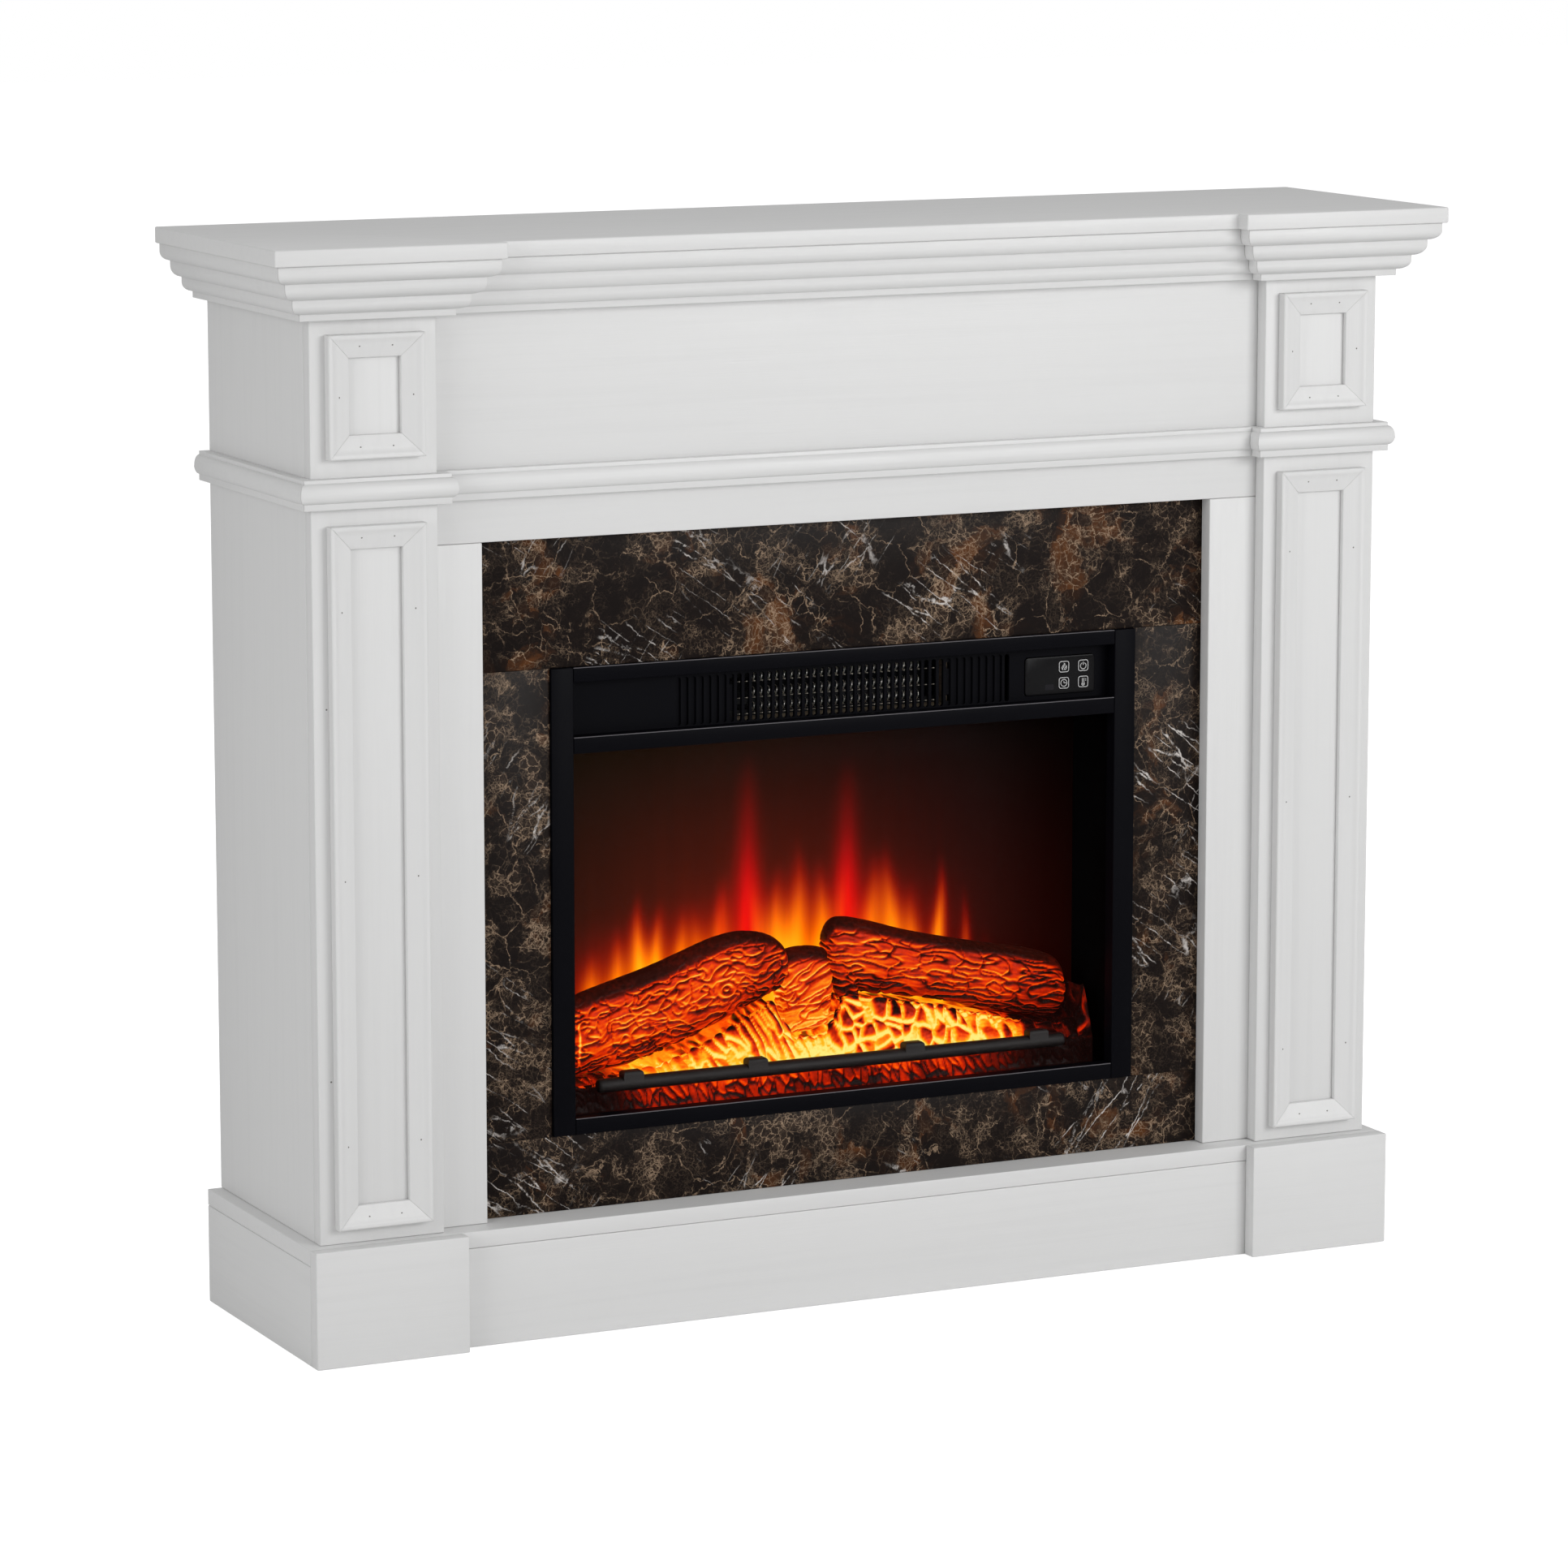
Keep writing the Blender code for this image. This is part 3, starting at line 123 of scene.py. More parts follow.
class MarbleSettings(bpy.types.PropertyGroup):
    ground: colour_of("Ground", (0.0074, 0.0046, 0.0040), "Darkest colour of the stone")
    cloud: colour_of("Cloud", (0.046, 0.029, 0.020), "Brown clouds in the stone")
    tan: colour_of("Tan", (0.170, 0.115, 0.072), "Tan patches between the fragments")
    rust: colour_of("Rust", (0.125, 0.043, 0.012), "Rust brown patches")
    crackle: colour_of("Crackle", (0.36, 0.25, 0.165), "Fine tan cracks")
    vein: colour_of("Vein", (0.60, 0.56, 0.53), "Pale veins and blotches")
    roughness: share_of("Polish", 0.34, "Roughness of the polished face")
    edge: size_of("Slab edge", 0.0003, "Rounding of the slabs' edges")


class InsertSettings(bpy.types.PropertyGroup):
    metal: colour_of("Powder coat", (0.0030, 0.0030, 0.0046), "Colour of the insert's trim")
    # painted highlight: worn is the brighter colour given to the rails' upper front edges, where light
    # from above catches them
    worn: colour_of("Bright edge", (0.115, 0.108, 0.118), "Colour of the trim's highlighted edges")
    plastic: colour_of("Grille plastic", (0.0034, 0.0034, 0.0050), "Colour of the grille")
    sheet: colour_of("Case sheet", (0.0020, 0.0020, 0.0023), "Colour of the case")
    edge: size_of("Trim edge", 0.0007, "Rounding of the trim's edges")
    wall: size_of("Trim wall", 0.0012, "Thickness of the trim's sheet")
    slot_pitch: size_of("Slot pitch", 0.00753, "Distance between the grille's slots")
    slot_width: size_of("Slot width", 0.0047, "Width of a slot")
    slot_height: size_of("Slot height", 0.0438, "Height of a slot")
    slot_rise: size_of("Slot rise", 0.0009, "Lowest point of a slot above the middle rail")
    slot_depth: size_of("Blind depth", 0.0022, "Depth of the slots that are closed at the back")
    screw: size_of("Screw head", 0.0036, "Radius of a screw head")


class HeaterSettings(bpy.types.PropertyGroup):
    rows: IntProperty(name="Rows", description="Rows of the heating coil", default=3, min=1, max=5)
    row_pitch: size_of("Row pitch", 0.0135, "Distance between the coil's rows")
    coil_radius: size_of("Coil radius", 0.0045, "Radius of the coil's turns")
    wire: size_of("Wire", 0.00042, "Radius of the coil's wire")
    colour: colour_of("Wire colour", (1.0, 0.96, 0.88), "Colour of the bare wire")
    guard: size_of("Guard wire", 0.0005, "Radius of the straight guard wires")


class ControlSettings(bpy.types.PropertyGroup):
    gloss: colour_of("Panel", (0.0056, 0.0053, 0.0060), "Colour of the glossy panel")
    print_ink: colour_of("Ink", (0.66, 0.66, 0.66), "Colour of the printed key frames and symbols")
    corner: size_of("Panel corner", 0.003, "Corner radius of the panel")
    rim: size_of("Panel rim", 0.0006, "Rounding of the panel's front edge")
    key_corner: size_of("Key corner", 0.0025, "Corner radius of a key")
    line: size_of("Ink line", 0.00034, "Half the width of a printed line")
    ink_height: size_of("Ink height", 0.00008, "Thickness of the printed lines")


class FireSettings(bpy.types.PropertyGroup):
    flame_cells: IntProperty(name="Flame cells", default=99, min=20, max=100,
                             description="Cuts across the screen, before each cell is halved")
    log_grain: size_of("Log mesh", 0.00105, "Size of the mesh that the bark is cut in")
    bark: size_of("Bark depth", 0.0030, "Depth of the bark's furrows")
    ember_columns: IntProperty(name="Ember columns", description="Columns of the ember mesh", default=470,
                               min=60, max=600)
    ember_rows: IntProperty(name="Ember rows", description="Rows of the ember mesh", default=100, min=20,
                            max=140)
    lump: size_of("Ember lumps", 0.0052, "Height of the ember lumps")
    iron: colour_of("Grate iron", (0.010, 0.0065, 0.0060), "Colour of the grate bar")


class StageSettings(bpy.types.PropertyGroup):
    floor: colour_of("Floor", (0.86, 0.86, 0.86), "Colour of the floor")
    lens: FloatProperty(name="Lens", description="Focal length in millimetres", default=139.6, min=20.0,
                        max=300.0)
    camera: FloatVectorProperty(name="Camera", description="Place of the camera", size=3,
                                default=(-2.4021, -4.9371, 1.3927), subtype="XYZ", unit="LENGTH")
    heading: FloatProperty(name="Heading", description="Turn of the camera from straight ahead",
                           default=math.radians(25.65), subtype="ANGLE", unit="ROTATION")
    dip: FloatProperty(name="Dip", description="Tilt of the camera below level",
                       default=math.radians(9.63), subtype="ANGLE", unit="ROTATION")


SETTINGS = {
    "fireplace_mantel": MantelSettings,
    "fireplace_marble": MarbleSettings,
    "fireplace_insert": InsertSettings,
    "fireplace_heater": HeaterSettings,
    "fireplace_controls": ControlSettings,
    "fireplace_fire": FireSettings,
    "fireplace_stage": StageSettings,
}


# ---- modelling helpers ---------------------------------------------------------------------------
def make_active(obj):
    bpy.ops.object.select_all(action="DESELECT")
    obj.select_set(True)
    bpy.context.view_layer.objects.active = obj


def take_name(name):
    """Name the object that an add operator has just made."""
    obj = bpy.context.active_object
    obj.name = name
    obj.data.name = name
    return obj


def apply_place(obj):
    make_active(obj)
    bpy.ops.object.transform_apply(location=True, rotation=True, scale=True)
    return obj


def add_shape(name, add, **settings):
    """Add a primitive with its own operator, name it and apply its place."""
    bpy.ops.object.select_all(action="DESELECT")
    add(**settings)
    return apply_place(take_name(name))


def add_block(name, low, high):
    """A block with its corners at `low` and `high`."""
    low, high = Vector(low), Vector(high)
    bpy.ops.object.select_all(action="DESELECT")
    bpy.ops.mesh.primitive_cube_add(size=1.0, location=(low + high) / 2)
    obj = take_name(name)
    obj.scale = high - low
    return apply_place(obj)


def select_faces(obj, test):
    """In edit mode, select just the faces whose centre and normal pass the test."""
    mesh = bmesh.from_edit_mesh(obj.data)
    bpy.ops.mesh.select_mode(type="FACE")
    bpy.ops.mesh.select_all(action="DESELECT")
    for face in mesh.faces:
        if test(face.calc_center_median(), face.normal):
            face.select_set(True)
    bmesh.update_edit_mesh(obj.data)


def select_edges(obj, test):
    """In edit mode, select just the edges whose two ends pass the test."""
    mesh = bmesh.from_edit_mesh(obj.data)
    bpy.ops.mesh.select_mode(type="EDGE")
    bpy.ops.mesh.select_all(action="DESELECT")
    for edge in mesh.edges:
        if test(edge.verts[0].co, edge.verts[1].co):
            edge.select_set(True)
    bmesh.update_edit_mesh(obj.data)


def bevel_edges(obj, width, segments, test):
    make_active(obj)
    bpy.ops.object.mode_set(mode="EDIT")
    select_edges(obj, test)
    bpy.ops.mesh.bevel(offset=width, segments=segments, affect="EDGES")
    bpy.ops.object.mode_set(mode="OBJECT")


def along(axis):
    """A test for edges that run along an axis, 0 to 2."""
    def test(a, b):
        run = b - a
        return abs(run[axis]) > 0.99 * run.length
    return test


def apply_modifier(obj, kind, **settings):
    make_active(obj)
    bpy.ops.object.modifier_add(type=kind)
    modifier = obj.modifiers[-1]
    for name, value in settings.items():
        setattr(modifier, name, value)
    bpy.ops.object.modifier_apply(modifier=modifier.name)


def round_edges(obj, width, segments, angle=30.0):
    apply_modifier(obj, "BEVEL", width=width, segments=segments, limit_method="ANGLE",
                   angle_limit=math.radians(angle))


def cut_away(obj, cutter):
    apply_modifier(obj, "BOOLEAN", operation="DIFFERENCE", solver="EXACT", object=cutter)
    bpy.data.objects.remove(cutter, do_unlink=True)


def join(pieces, name):
    make_active(pieces[0])
    for piece in pieces:
        piece.select_set(True)
    if len(pieces) > 1:
        bpy.ops.object.join()
    return take_name(name)


def copy_of(obj, offset):
    """A copy with its own mesh, moved by `offset`."""
    make_active(obj)
    bpy.ops.object.duplicate(linked=False)
    made = take_name("copy")
    made.location = Vector(offset)
    return apply_place(made)


def finish(obj, material, body=MAIN_BODY, replaces=(), angle=32.0):
    """Close the work on a piece: normals, shading, material, body and the nodes it stands for."""
    make_active(obj)
    bpy.ops.object.mode_set(mode="EDIT")
    bpy.ops.mesh.select_all(action="SELECT")
    bpy.ops.mesh.normals_make_consistent(inside=False)
    bpy.ops.object.mode_set(mode="OBJECT")
    bpy.ops.object.shade_smooth_by_angle(angle=math.radians(angle))
    apply_place(obj)
    obj.data.materials.clear()
    obj.data.materials.append(material)
    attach(obj, body)
    if replaces:
        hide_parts(*replaces)


def dress(node, material):
    """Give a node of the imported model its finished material."""
    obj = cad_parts[node]
    obj.data.materials.clear()
    obj.data.materials.append(material)


def profile_bar(name, profile, start, end):
    """A bar along X: an edge from `start` to `end`, extruded along the (y, z) profile."""
    length = end - start
    y0, z0 = profile[0]
    obj = add_shape(name, bpy.ops.mesh.primitive_plane_add, size=length,
                    location=((start + end) / 2, y0 + length / 2, z0))
    bpy.ops.object.mode_set(mode="EDIT")
    select_edges(obj, lambda a, b: min(a.y, b.y) > y0 + length / 2)
    bpy.ops.mesh.delete(type="VERT")
    bpy.ops.mesh.select_all(action="SELECT")
    for (ya, za), (yb, zb) in zip(profile, profile[1:] + profile[:1]):
        bpy.ops.mesh.extrude_edges_move(TRANSFORM_OT_translate={"value": (0.0, yb - ya, zb - za)})
    bpy.ops.mesh.select_all(action="SELECT")
    bpy.ops.mesh.remove_doubles(threshold=1e-6)
    bpy.ops.mesh.select_all(action="SELECT")
    bpy.ops.mesh.fill_holes(sides=0)
    bpy.ops.mesh.select_all(action="SELECT")
    bpy.ops.mesh.normals_make_consistent(inside=False)
    bpy.ops.object.mode_set(mode="OBJECT")
    return obj


def slice_off(obj, point, normal):
    """Cut a piece with a plane, close it, and drop what lies on the side that the normal points to."""
    make_active(obj)
    bpy.ops.object.mode_set(mode="EDIT")
    bpy.ops.mesh.select_all(action="SELECT")
    bpy.ops.mesh.bisect(plane_co=point, plane_no=normal, use_fill=True, clear_outer=True)
    bpy.ops.object.mode_set(mode="OBJECT")


def of_points(obj, kind):
    """Three numbers of each point, as an array with a row for each."""
    values = np.empty(len(obj.data.vertices) * 3, np.float32)
    obj.data.vertices.foreach_get(kind, values)
    return values.reshape(-1, 3).astype(float)


def positions(obj):
    return of_points(obj, "co")


def normals(obj):
    return of_points(obj, "normal")


def set_positions(obj, co):
    obj.data.vertices.foreach_set("co", co.astype(np.float32).ravel())
    obj.data.update()


def store_glow(obj, values):
    """Keep one number for each point, for the material to read."""
    attribute = obj.data.attributes.new("glow", "FLOAT", "POINT")
    attribute.data.foreach_set("value", np.asarray(values, np.float32))


def smooth_step(low, high, value):
    t = np.clip((value - low) / (high - low), 0.0, 1.0)
    return t * t * (3.0 - 2.0 * t)


# ---- material helpers ----------------------------------------------------------------------------
def add_node(tree, kind, inputs=None, **settings):
    """Add a shader node; `inputs` gives each socket a value or another node's socket."""
    made = tree.nodes.new("ShaderNode" + kind)
    for name, value in settings.items():
        setattr(made, name, value)
    for key, value in (inputs or {}).items():
        if isinstance(value, bpy.types.NodeSocket):
            tree.links.new(value, made.inputs[key])
        else:
            made.inputs[key].default_value = value
    return made


def start_material(name, colour, roughness, metallic=0.0, specular=0.5):
    material = bpy.data.materials.new(name)
    material.use_nodes = True
    shader = material.node_tree.nodes["Principled BSDF"]
    shader.inputs["Base Color"].default_value = (*colour, 1.0)
    shader.inputs["Roughness"].default_value = roughness
    shader.inputs["Metallic"].default_value = metallic
    shader.inputs["Specular IOR Level"].default_value = specular
    material.diffuse_color = (*colour, 1.0)
    return material, material.node_tree, shader


def object_point(tree, scale=(1.0, 1.0, 1.0), turn=(0.0, 0.0, 0.0)):
    where = add_node(tree, "TexCoord").outputs["Object"]
    return add_node(tree, "Mapping", {"Vector": where, "Scale": scale, "Rotation": turn}).outputs[0]


def noise_of(tree, vector, scale, detail=3.0, roughness=0.5, distortion=0.0):
    return add_node(tree, "TexNoise", {"Vector": vector, "Scale": scale, "Detail": detail,
                                       "Roughness": roughness, "Distortion": distortion}).outputs["Fac"]


def ramp(tree, factor, stops):
    """A colour ramp through (place, colour or grey) stops."""
    made = add_node(tree, "ValToRGB", {"Fac": factor})
    elements = made.color_ramp.elements
    while len(elements) < len(stops):
        elements.new(0.5)
    for element, (place, value) in zip(elements, stops):
        element.position = place
        element.color = (*value, 1.0) if hasattr(value, "__len__") else (value, value, value, 1.0)
    return made.outputs["Color"]


def mixed(tree, factor, first, second, blend="MIX"):
    """Mix two colours, each a socket or three numbers."""
    first, second = [(*value, 1.0) if hasattr(value, "__len__") else value for value in (first, second)]
    return add_node(tree, "Mix", {0: factor, 6: first, 7: second}, data_type="RGBA",
                    blend_type=blend).outputs[2]


def calc(tree, operation, first, second):
    return add_node(tree, "Math", {0: first, 1: second}, operation=operation).outputs[0]


def product(tree, first, *others):
    for other in others:
        first = calc(tree, "MULTIPLY", first, other)
    return first


def rescale(tree, value, from_low, from_high, to_low, to_high):
    return add_node(tree, "MapRange", {"Value": value, "From Min": from_low, "From Max": from_high,
                                       "To Min": to_low, "To Max": to_high}).outputs["Result"]


def shaded(colour, factor):
    return tuple(factor * value for value in colour)


def colour_by(tree, shader, factor, stops):
    """Let a factor choose the base colour from a ramp."""
    tree.links.new(ramp(tree, factor, stops), shader.inputs["Base Color"])


def roughness_by(tree, shader, value, low, high, start=0.3, stop=0.7):
    """Let a value set the roughness: `low` where it is at `start`, `high` where it is at `stop`."""
    tree.links.new(rescale(tree, value, start, stop, low, high), shader.inputs["Roughness"])


def add_bump(tree, shader, height, distance, strength=1.0):
    bump = add_node(tree, "Bump", {"Height": height, "Distance": distance, "Strength": strength})
    tree.links.new(bump.outputs["Normal"], shader.inputs["Normal"])


# ---- materials -----------------------------------------------------------------------------------
def white_paint(grain_axis):
    """Satin paint; the grain of the board under it runs along an axis, 0 to 2."""
    name = "white_paint_" + "xyz"[grain_axis]
    if name in bpy.data.materials:
        return bpy.data.materials[name]
    settings = bpy.context.scene.fireplace_mantel
    material, tree, shader = start_material(name, settings.paint, settings.paint_roughness)
    across, lengthwise = 620.0, 16.0
    scale = [across] * 3
    scale[grain_axis] = lengthwise
    fibre = noise_of(tree, object_point(tree, scale), 1.0, 4.0, 0.62)
    pores = noise_of(tree, object_point(tree, shaded(scale, 0.22)), 1.0, 3.0, 0.5, 0.4)
    height = mixed(tree, 0.45, fibre, pores)
    shade = ramp(tree, pores, [(0.30, shaded(settings.paint, 0.982)), (0.52, settings.paint)])
    cloudy = noise_of(tree, object_point(tree), 2.3, 2.0)
    tone = ramp(tree, cloudy, [(0.25, 0.975), (0.75, 1.0)])
    tree.links.new(mixed(tree, 1.0, shade, tone, "MULTIPLY"), shader.inputs["Base Color"])
    roughness_by(tree, shader, fibre, settings.paint_roughness - 0.05, settings.paint_roughness + 0.08)
    add_bump(tree, shader, height, settings.grain, 0.8)
    return material


def nail_filler():
    settings = bpy.context.scene.fireplace_mantel
    material, tree, shader = start_material("nail_filler", settings.filler, 0.7)
    spots = noise_of(tree, object_point(tree), 1800.0, 2.0)
    colour_by(tree, shader, spots, [(0.3, shaded(settings.filler, 0.6)), (0.7, settings.filler)])
    return material


def crackle_lines(tree, vector, scale, width, soft):
    """Thin lines between the cells of a crackle: 1 on a line and 0 off it."""
    edge = add_node(tree, "TexVoronoi", {"Vector": vector, "Scale": scale},
                    feature="DISTANCE_TO_EDGE").outputs["Distance"]
    return ramp(tree, edge, [(width, 1.0), (width + soft, 0.0)])


def warped(tree, vector, scale, amount):
    """The same point, pushed about by noise."""
    push = add_node(tree, "TexNoise", {"Vector": vector, "Scale": scale, "Detail": 4.0,
                                       "Roughness": 0.6}).outputs["Color"]
    centred = add_node(tree, "VectorMath", {0: push, 1: (0.5, 0.5, 0.5)}, operation="SUBTRACT").outputs[0]
    sized = add_node(tree, "VectorMath", {0: centred, "Scale": amount}, operation="SCALE").outputs[0]
    return add_node(tree, "VectorMath", {0: vector, 1: sized}, operation="ADD").outputs[0]


def dark_marble(name, offset):
    """Dark brown marble: black fragments, a tan crackle between them, rust patches and pale veins."""
    settings = bpy.context.scene.fireplace_marble
    material, tree, shader = start_material(name, settings.ground, settings.roughness, specular=0.08)
    where = add_node(tree, "TexCoord").outputs["Object"]
    point = add_node(tree, "Mapping", {"Vector": where, "Location": offset}).outputs[0]
    bent = warped(tree, point, 14.0, 0.030)
    torn = warped(tree, bent, 120.0, 0.0085)
    ragged = warped(tree, torn, 420.0, 0.0030)

    zones = noise_of(tree, bent, 19.0, 6.0, 0.68)
    mottle = noise_of(tree, torn, 260.0, 6.0, 0.80)
    dusty = mixed(tree, ramp(tree, mottle, [(0.38, 0.0), (0.64, 1.0)]), settings.ground, settings.cloud)
    colour = mixed(tree, ramp(tree, zones, [(0.43, 0.05), (0.62, 0.90)]), settings.ground, dusty)

    specks = ramp(tree, mottle, [(0.42, 0.0), (0.58, 1.0)])
    rusty = ramp(tree, noise_of(tree, torn, 15.0, 5.0, 0.62, 0.6), [(0.53, 0.0), (0.66, 0.72)])
    colour = mixed(tree, rusty, colour, settings.rust)
    tan = ramp(tree, noise_of(tree, torn, 27.0, 6.0, 0.70, 0.5), [(0.58, 0.0), (0.70, 0.45)])
    colour = mixed(tree, product(tree, tan, specks), colour, settings.tan)

    not_stone = None
    for scale, cut, depth in ((30.0, 0.64, 0.80), (66.0, 0.70, 0.78)):
        cells = add_node(tree, "TexVoronoi", {"Vector": ragged, "Scale": scale}, feature="F1")
        pick = add_node(tree, "SeparateColor", {"Color": cells.outputs["Color"]}).outputs[0]
        stone = ramp(tree, pick, [(cut, 0.0), (cut + 0.02, depth)])
        colour = mixed(tree, stone, colour, settings.ground)
        outside = calc(tree, "SUBTRACT", 1.0, stone)
        not_stone = outside if not_stone is None else product(tree, not_stone, outside)

    lace = ((72.0, 0.005, 0.024, 15.0, 0.95), (135.0, 0.008, 0.044, 19.0, 0.80),
            (280.0, 0.012, 0.075, 26.0, 0.48))
    for scale, width, soft, zone_scale, strength in lace:
        fine = crackle_lines(tree, ragged, scale, width, soft)
        patches = noise_of(tree, torn, zone_scale, 6.0, 0.72)
        area = ramp(tree, patches, [(0.48, 0.02), (0.58, strength)])
        colour = mixed(tree, product(tree, fine, area, not_stone), colour, settings.crackle)

    cracks = crackle_lines(tree, ragged, 24.0, 0.0015, 0.009)
    worn = ramp(tree, noise_of(tree, torn, 40.0, 5.0, 0.70), [(0.47, 0.0), (0.60, 0.95)])
    colour = mixed(tree, product(tree, cracks, worn), colour, settings.crackle)

    steady = warped(tree, warped(tree, point, 22.0, 0.010), 210.0, 0.0026)
    for turn, zone, reach in ((36.0, 9.0, 9.0), (-54.0, 7.0, 7.0)):
        slant = add_node(tree, "Mapping", {"Vector": steady, "Rotation": (0.0, math.radians(turn), 0.0),
                                           "Scale": (reach, 1.0, 1.0)}, vector_type="TEXTURE").outputs[0]
        streaks = crackle_lines(tree, slant, 70.0, 0.008, 0.022)
        area = ramp(tree, noise_of(tree, bent, zone, 3.0, 0.5), [(0.60, 0.0), (0.66, 1.0)])
        tear = ramp(tree, noise_of(tree, torn, 60.0, 6.0, 0.78), [(0.45, 0.0), (0.56, 1.0)])
        colour = mixed(tree, product(tree, streaks, area, tear), colour, settings.vein)

    blot = ramp(tree, noise_of(tree, torn, 24.0, 8.0, 0.72, 0.6), [(0.675, 0.0), (0.72, 0.85)])
    colour = mixed(tree, product(tree, blot, specks), colour, settings.vein)

    tree.links.new(colour, shader.inputs["Base Color"])
    roughness_by(tree, shader, mottle, settings.roughness - 0.05, settings.roughness + 0.07)
    return material


def speckled(name, colour, roughness, metallic=0.0, specular=0.5, scale=900.0, bump=0.00006):
    """A plain finish with a fine grain in tone, gloss and surface, as powder coat or moulded plastic."""
    if name in bpy.data.materials:
        return bpy.data.materials[name]
    material, tree, shader = start_material(name, colour, roughness, metallic, specular)
    grain = noise_of(tree, object_point(tree), scale, 3.0, 0.6)
    wear = noise_of(tree, object_point(tree), 14.0, 4.0, 0.6)
    colour_by(tree, shader, wear, [(0.3, shaded(colour, 0.86)), (0.7, colour)])
    roughness_by(tree, shader, mixed(tree, 0.5, grain, wear), max(roughness - 0.06, 0.02),
                 roughness + 0.08)
    add_bump(tree, shader, grain, bump, 0.6)
    return material


def brushed(name, colour, roughness, axis=0):
    """Bare metal with fine lines along an axis."""
    material, tree, shader = start_material(name, colour, roughness, 1.0)
    scale = [1400.0] * 3
    scale[axis] = 12.0
    lines = noise_of(tree, object_point(tree, scale), 1.0, 3.0, 0.6)
    colour_by(tree, shader, lines, [(0.3, shaded(colour, 0.8)), (0.7, colour)])
    roughness_by(tree, shader, lines, roughness - 0.08, roughness + 0.10)
    add_bump(tree, shader, lines, 0.00003, 0.5)
    return material


def galvanised_sheet():
    """Zinc with its spangle: flat grey cells of slightly different tone and gloss."""
    material, tree, shader = start_material("galvanised_sheet", (0.55, 0.56, 0.58), 0.4, 1.0)
    cells = add_node(tree, "TexVoronoi", {"Vector": warped(tree, object_point(tree), 60.0, 0.006),
                                          "Scale": 110.0}, feature="F1").outputs["Color"]
    pick = add_node(tree, "SeparateColor", {"Color": cells}).outputs[0]
    colour_by(tree, shader, pick, [(0.0, (0.42, 0.43, 0.45)), (1.0, (0.66, 0.67, 0.69))])
    roughness_by(tree, shader, pick, 0.30, 0.55, 0.0, 1.0)
    return material


def circuit_laminate():
    """Green laminate with copper tracks under the lacquer."""
    material, tree, shader = start_material("circuit_laminate", (0.01, 0.07, 0.03), 0.35)
    upright = object_point(tree, turn=(math.pi / 2, 0.0, 0.0))
    tracks = add_node(tree, "TexBrick", {"Vector": upright, "Scale": 90.0,
                                         "Mortar Size": 0.06}).outputs["Fac"]
    colour_by(tree, shader, tracks, [(0.2, (0.01, 0.07, 0.03)), (0.8, (0.03, 0.16, 0.07))])
    add_bump(tree, shader, tracks, 0.00004)
    return material


def mica_board():
    """Pressed mica with pale flakes."""
    material, tree, shader = start_material("mica_board", (0.36, 0.28, 0.19), 0.6)
    flakes = noise_of(tree, object_point(tree, (60.0, 60.0, 500.0)), 1.0, 5.0, 0.7, 0.8)
    colour_by(tree, shader, flakes, [(0.3, (0.20, 0.15, 0.10)), (0.55, (0.36, 0.28, 0.19)),
                                     (0.8, (0.52, 0.44, 0.33))])
    roughness_by(tree, shader, flakes, 0.35, 0.75)
    add_bump(tree, shader, flakes, 0.0001)
    return material


def clear_glass():
    """Front pane: nearly clear, with a faint dusting that only shows as a thin film."""
    material, tree, shader = start_material("tempered_glass", (0.002, 0.002, 0.002), 0.05, specular=0.06)
    dust = noise_of(tree, object_point(tree), 9.0, 5.0, 0.7)
    roughness_by(tree, shader, dust, 0.03, 0.09, 0.35, 0.75)
    shader.inputs["Alpha"].default_value = 0.04
    return material


def glowing(name, stops, colour, roughness, grain=260.0):
    """Cast resin lit from inside: the light's colour follows the glow kept on the mesh."""
    material, tree, shader = start_material(name, colour, roughness, specular=0.035)
    value = add_node(tree, "Attribute", attribute_name="glow").outputs["Fac"]
    haze = noise_of(tree, object_point(tree), grain, 3.0, 0.6)
    shifted = calc(tree, "ADD", value, rescale(tree, haze, 0.3, 0.7, -0.035, 0.035))
    tree.links.new(ramp(tree, shifted, stops), shader.inputs["Emission Color"])
    shader.inputs["Emission Strength"].default_value = 1.0
    colour_by(tree, shader, haze, [(0.3, shaded(colour, 0.7)), (0.7, colour)])
    roughness_by(tree, shader, haze, roughness - 0.08, roughness + 0.12)
    add_bump(tree, shader, haze, 0.00012, 0.5)
    return material


def flame_film():
    """Screen film that shows the moving light: its colour is kept on the mesh."""
    material, tree, shader = start_material("flame_film", (0.0025, 0.0018, 0.0014), 0.55, specular=0.04)
    light = add_node(tree, "Attribute", attribute_name="flame_light").outputs["Color"]
    streaks = noise_of(tree, object_point(tree, (150.0, 1.0, 9.0)), 1.0, 2.0, 0.5)
    tone = ramp(tree, streaks, [(0.3, 0.86), (0.7, 1.0)])
    tree.links.new(mixed(tree, 1.0, light, tone, "MULTIPLY"), shader.inputs["Emission Color"])
    shader.inputs["Emission Strength"].default_value = 1.0
    weave = noise_of(tree, object_point(tree), 700.0, 2.0)
    add_bump(tree, shader, weave, 0.00005)
    return material


# ---- mantel --------------------------------------------------------------------------------------
BOARDS = {
    "header_board": 0, "back_rail_top": 0, "base_board": 0, "plinth_front_centre": 0,
    "plinth_front_left": 0, "plinth_front_right": 0, "plinth_side_left": 1, "plinth_side_right": 1,
    "pilaster_left": 2, "pilaster_right": 2, "side_panel_left": 2, "side_panel_right": 2,
    "stile_left": 2, "stile_right": 2,
}


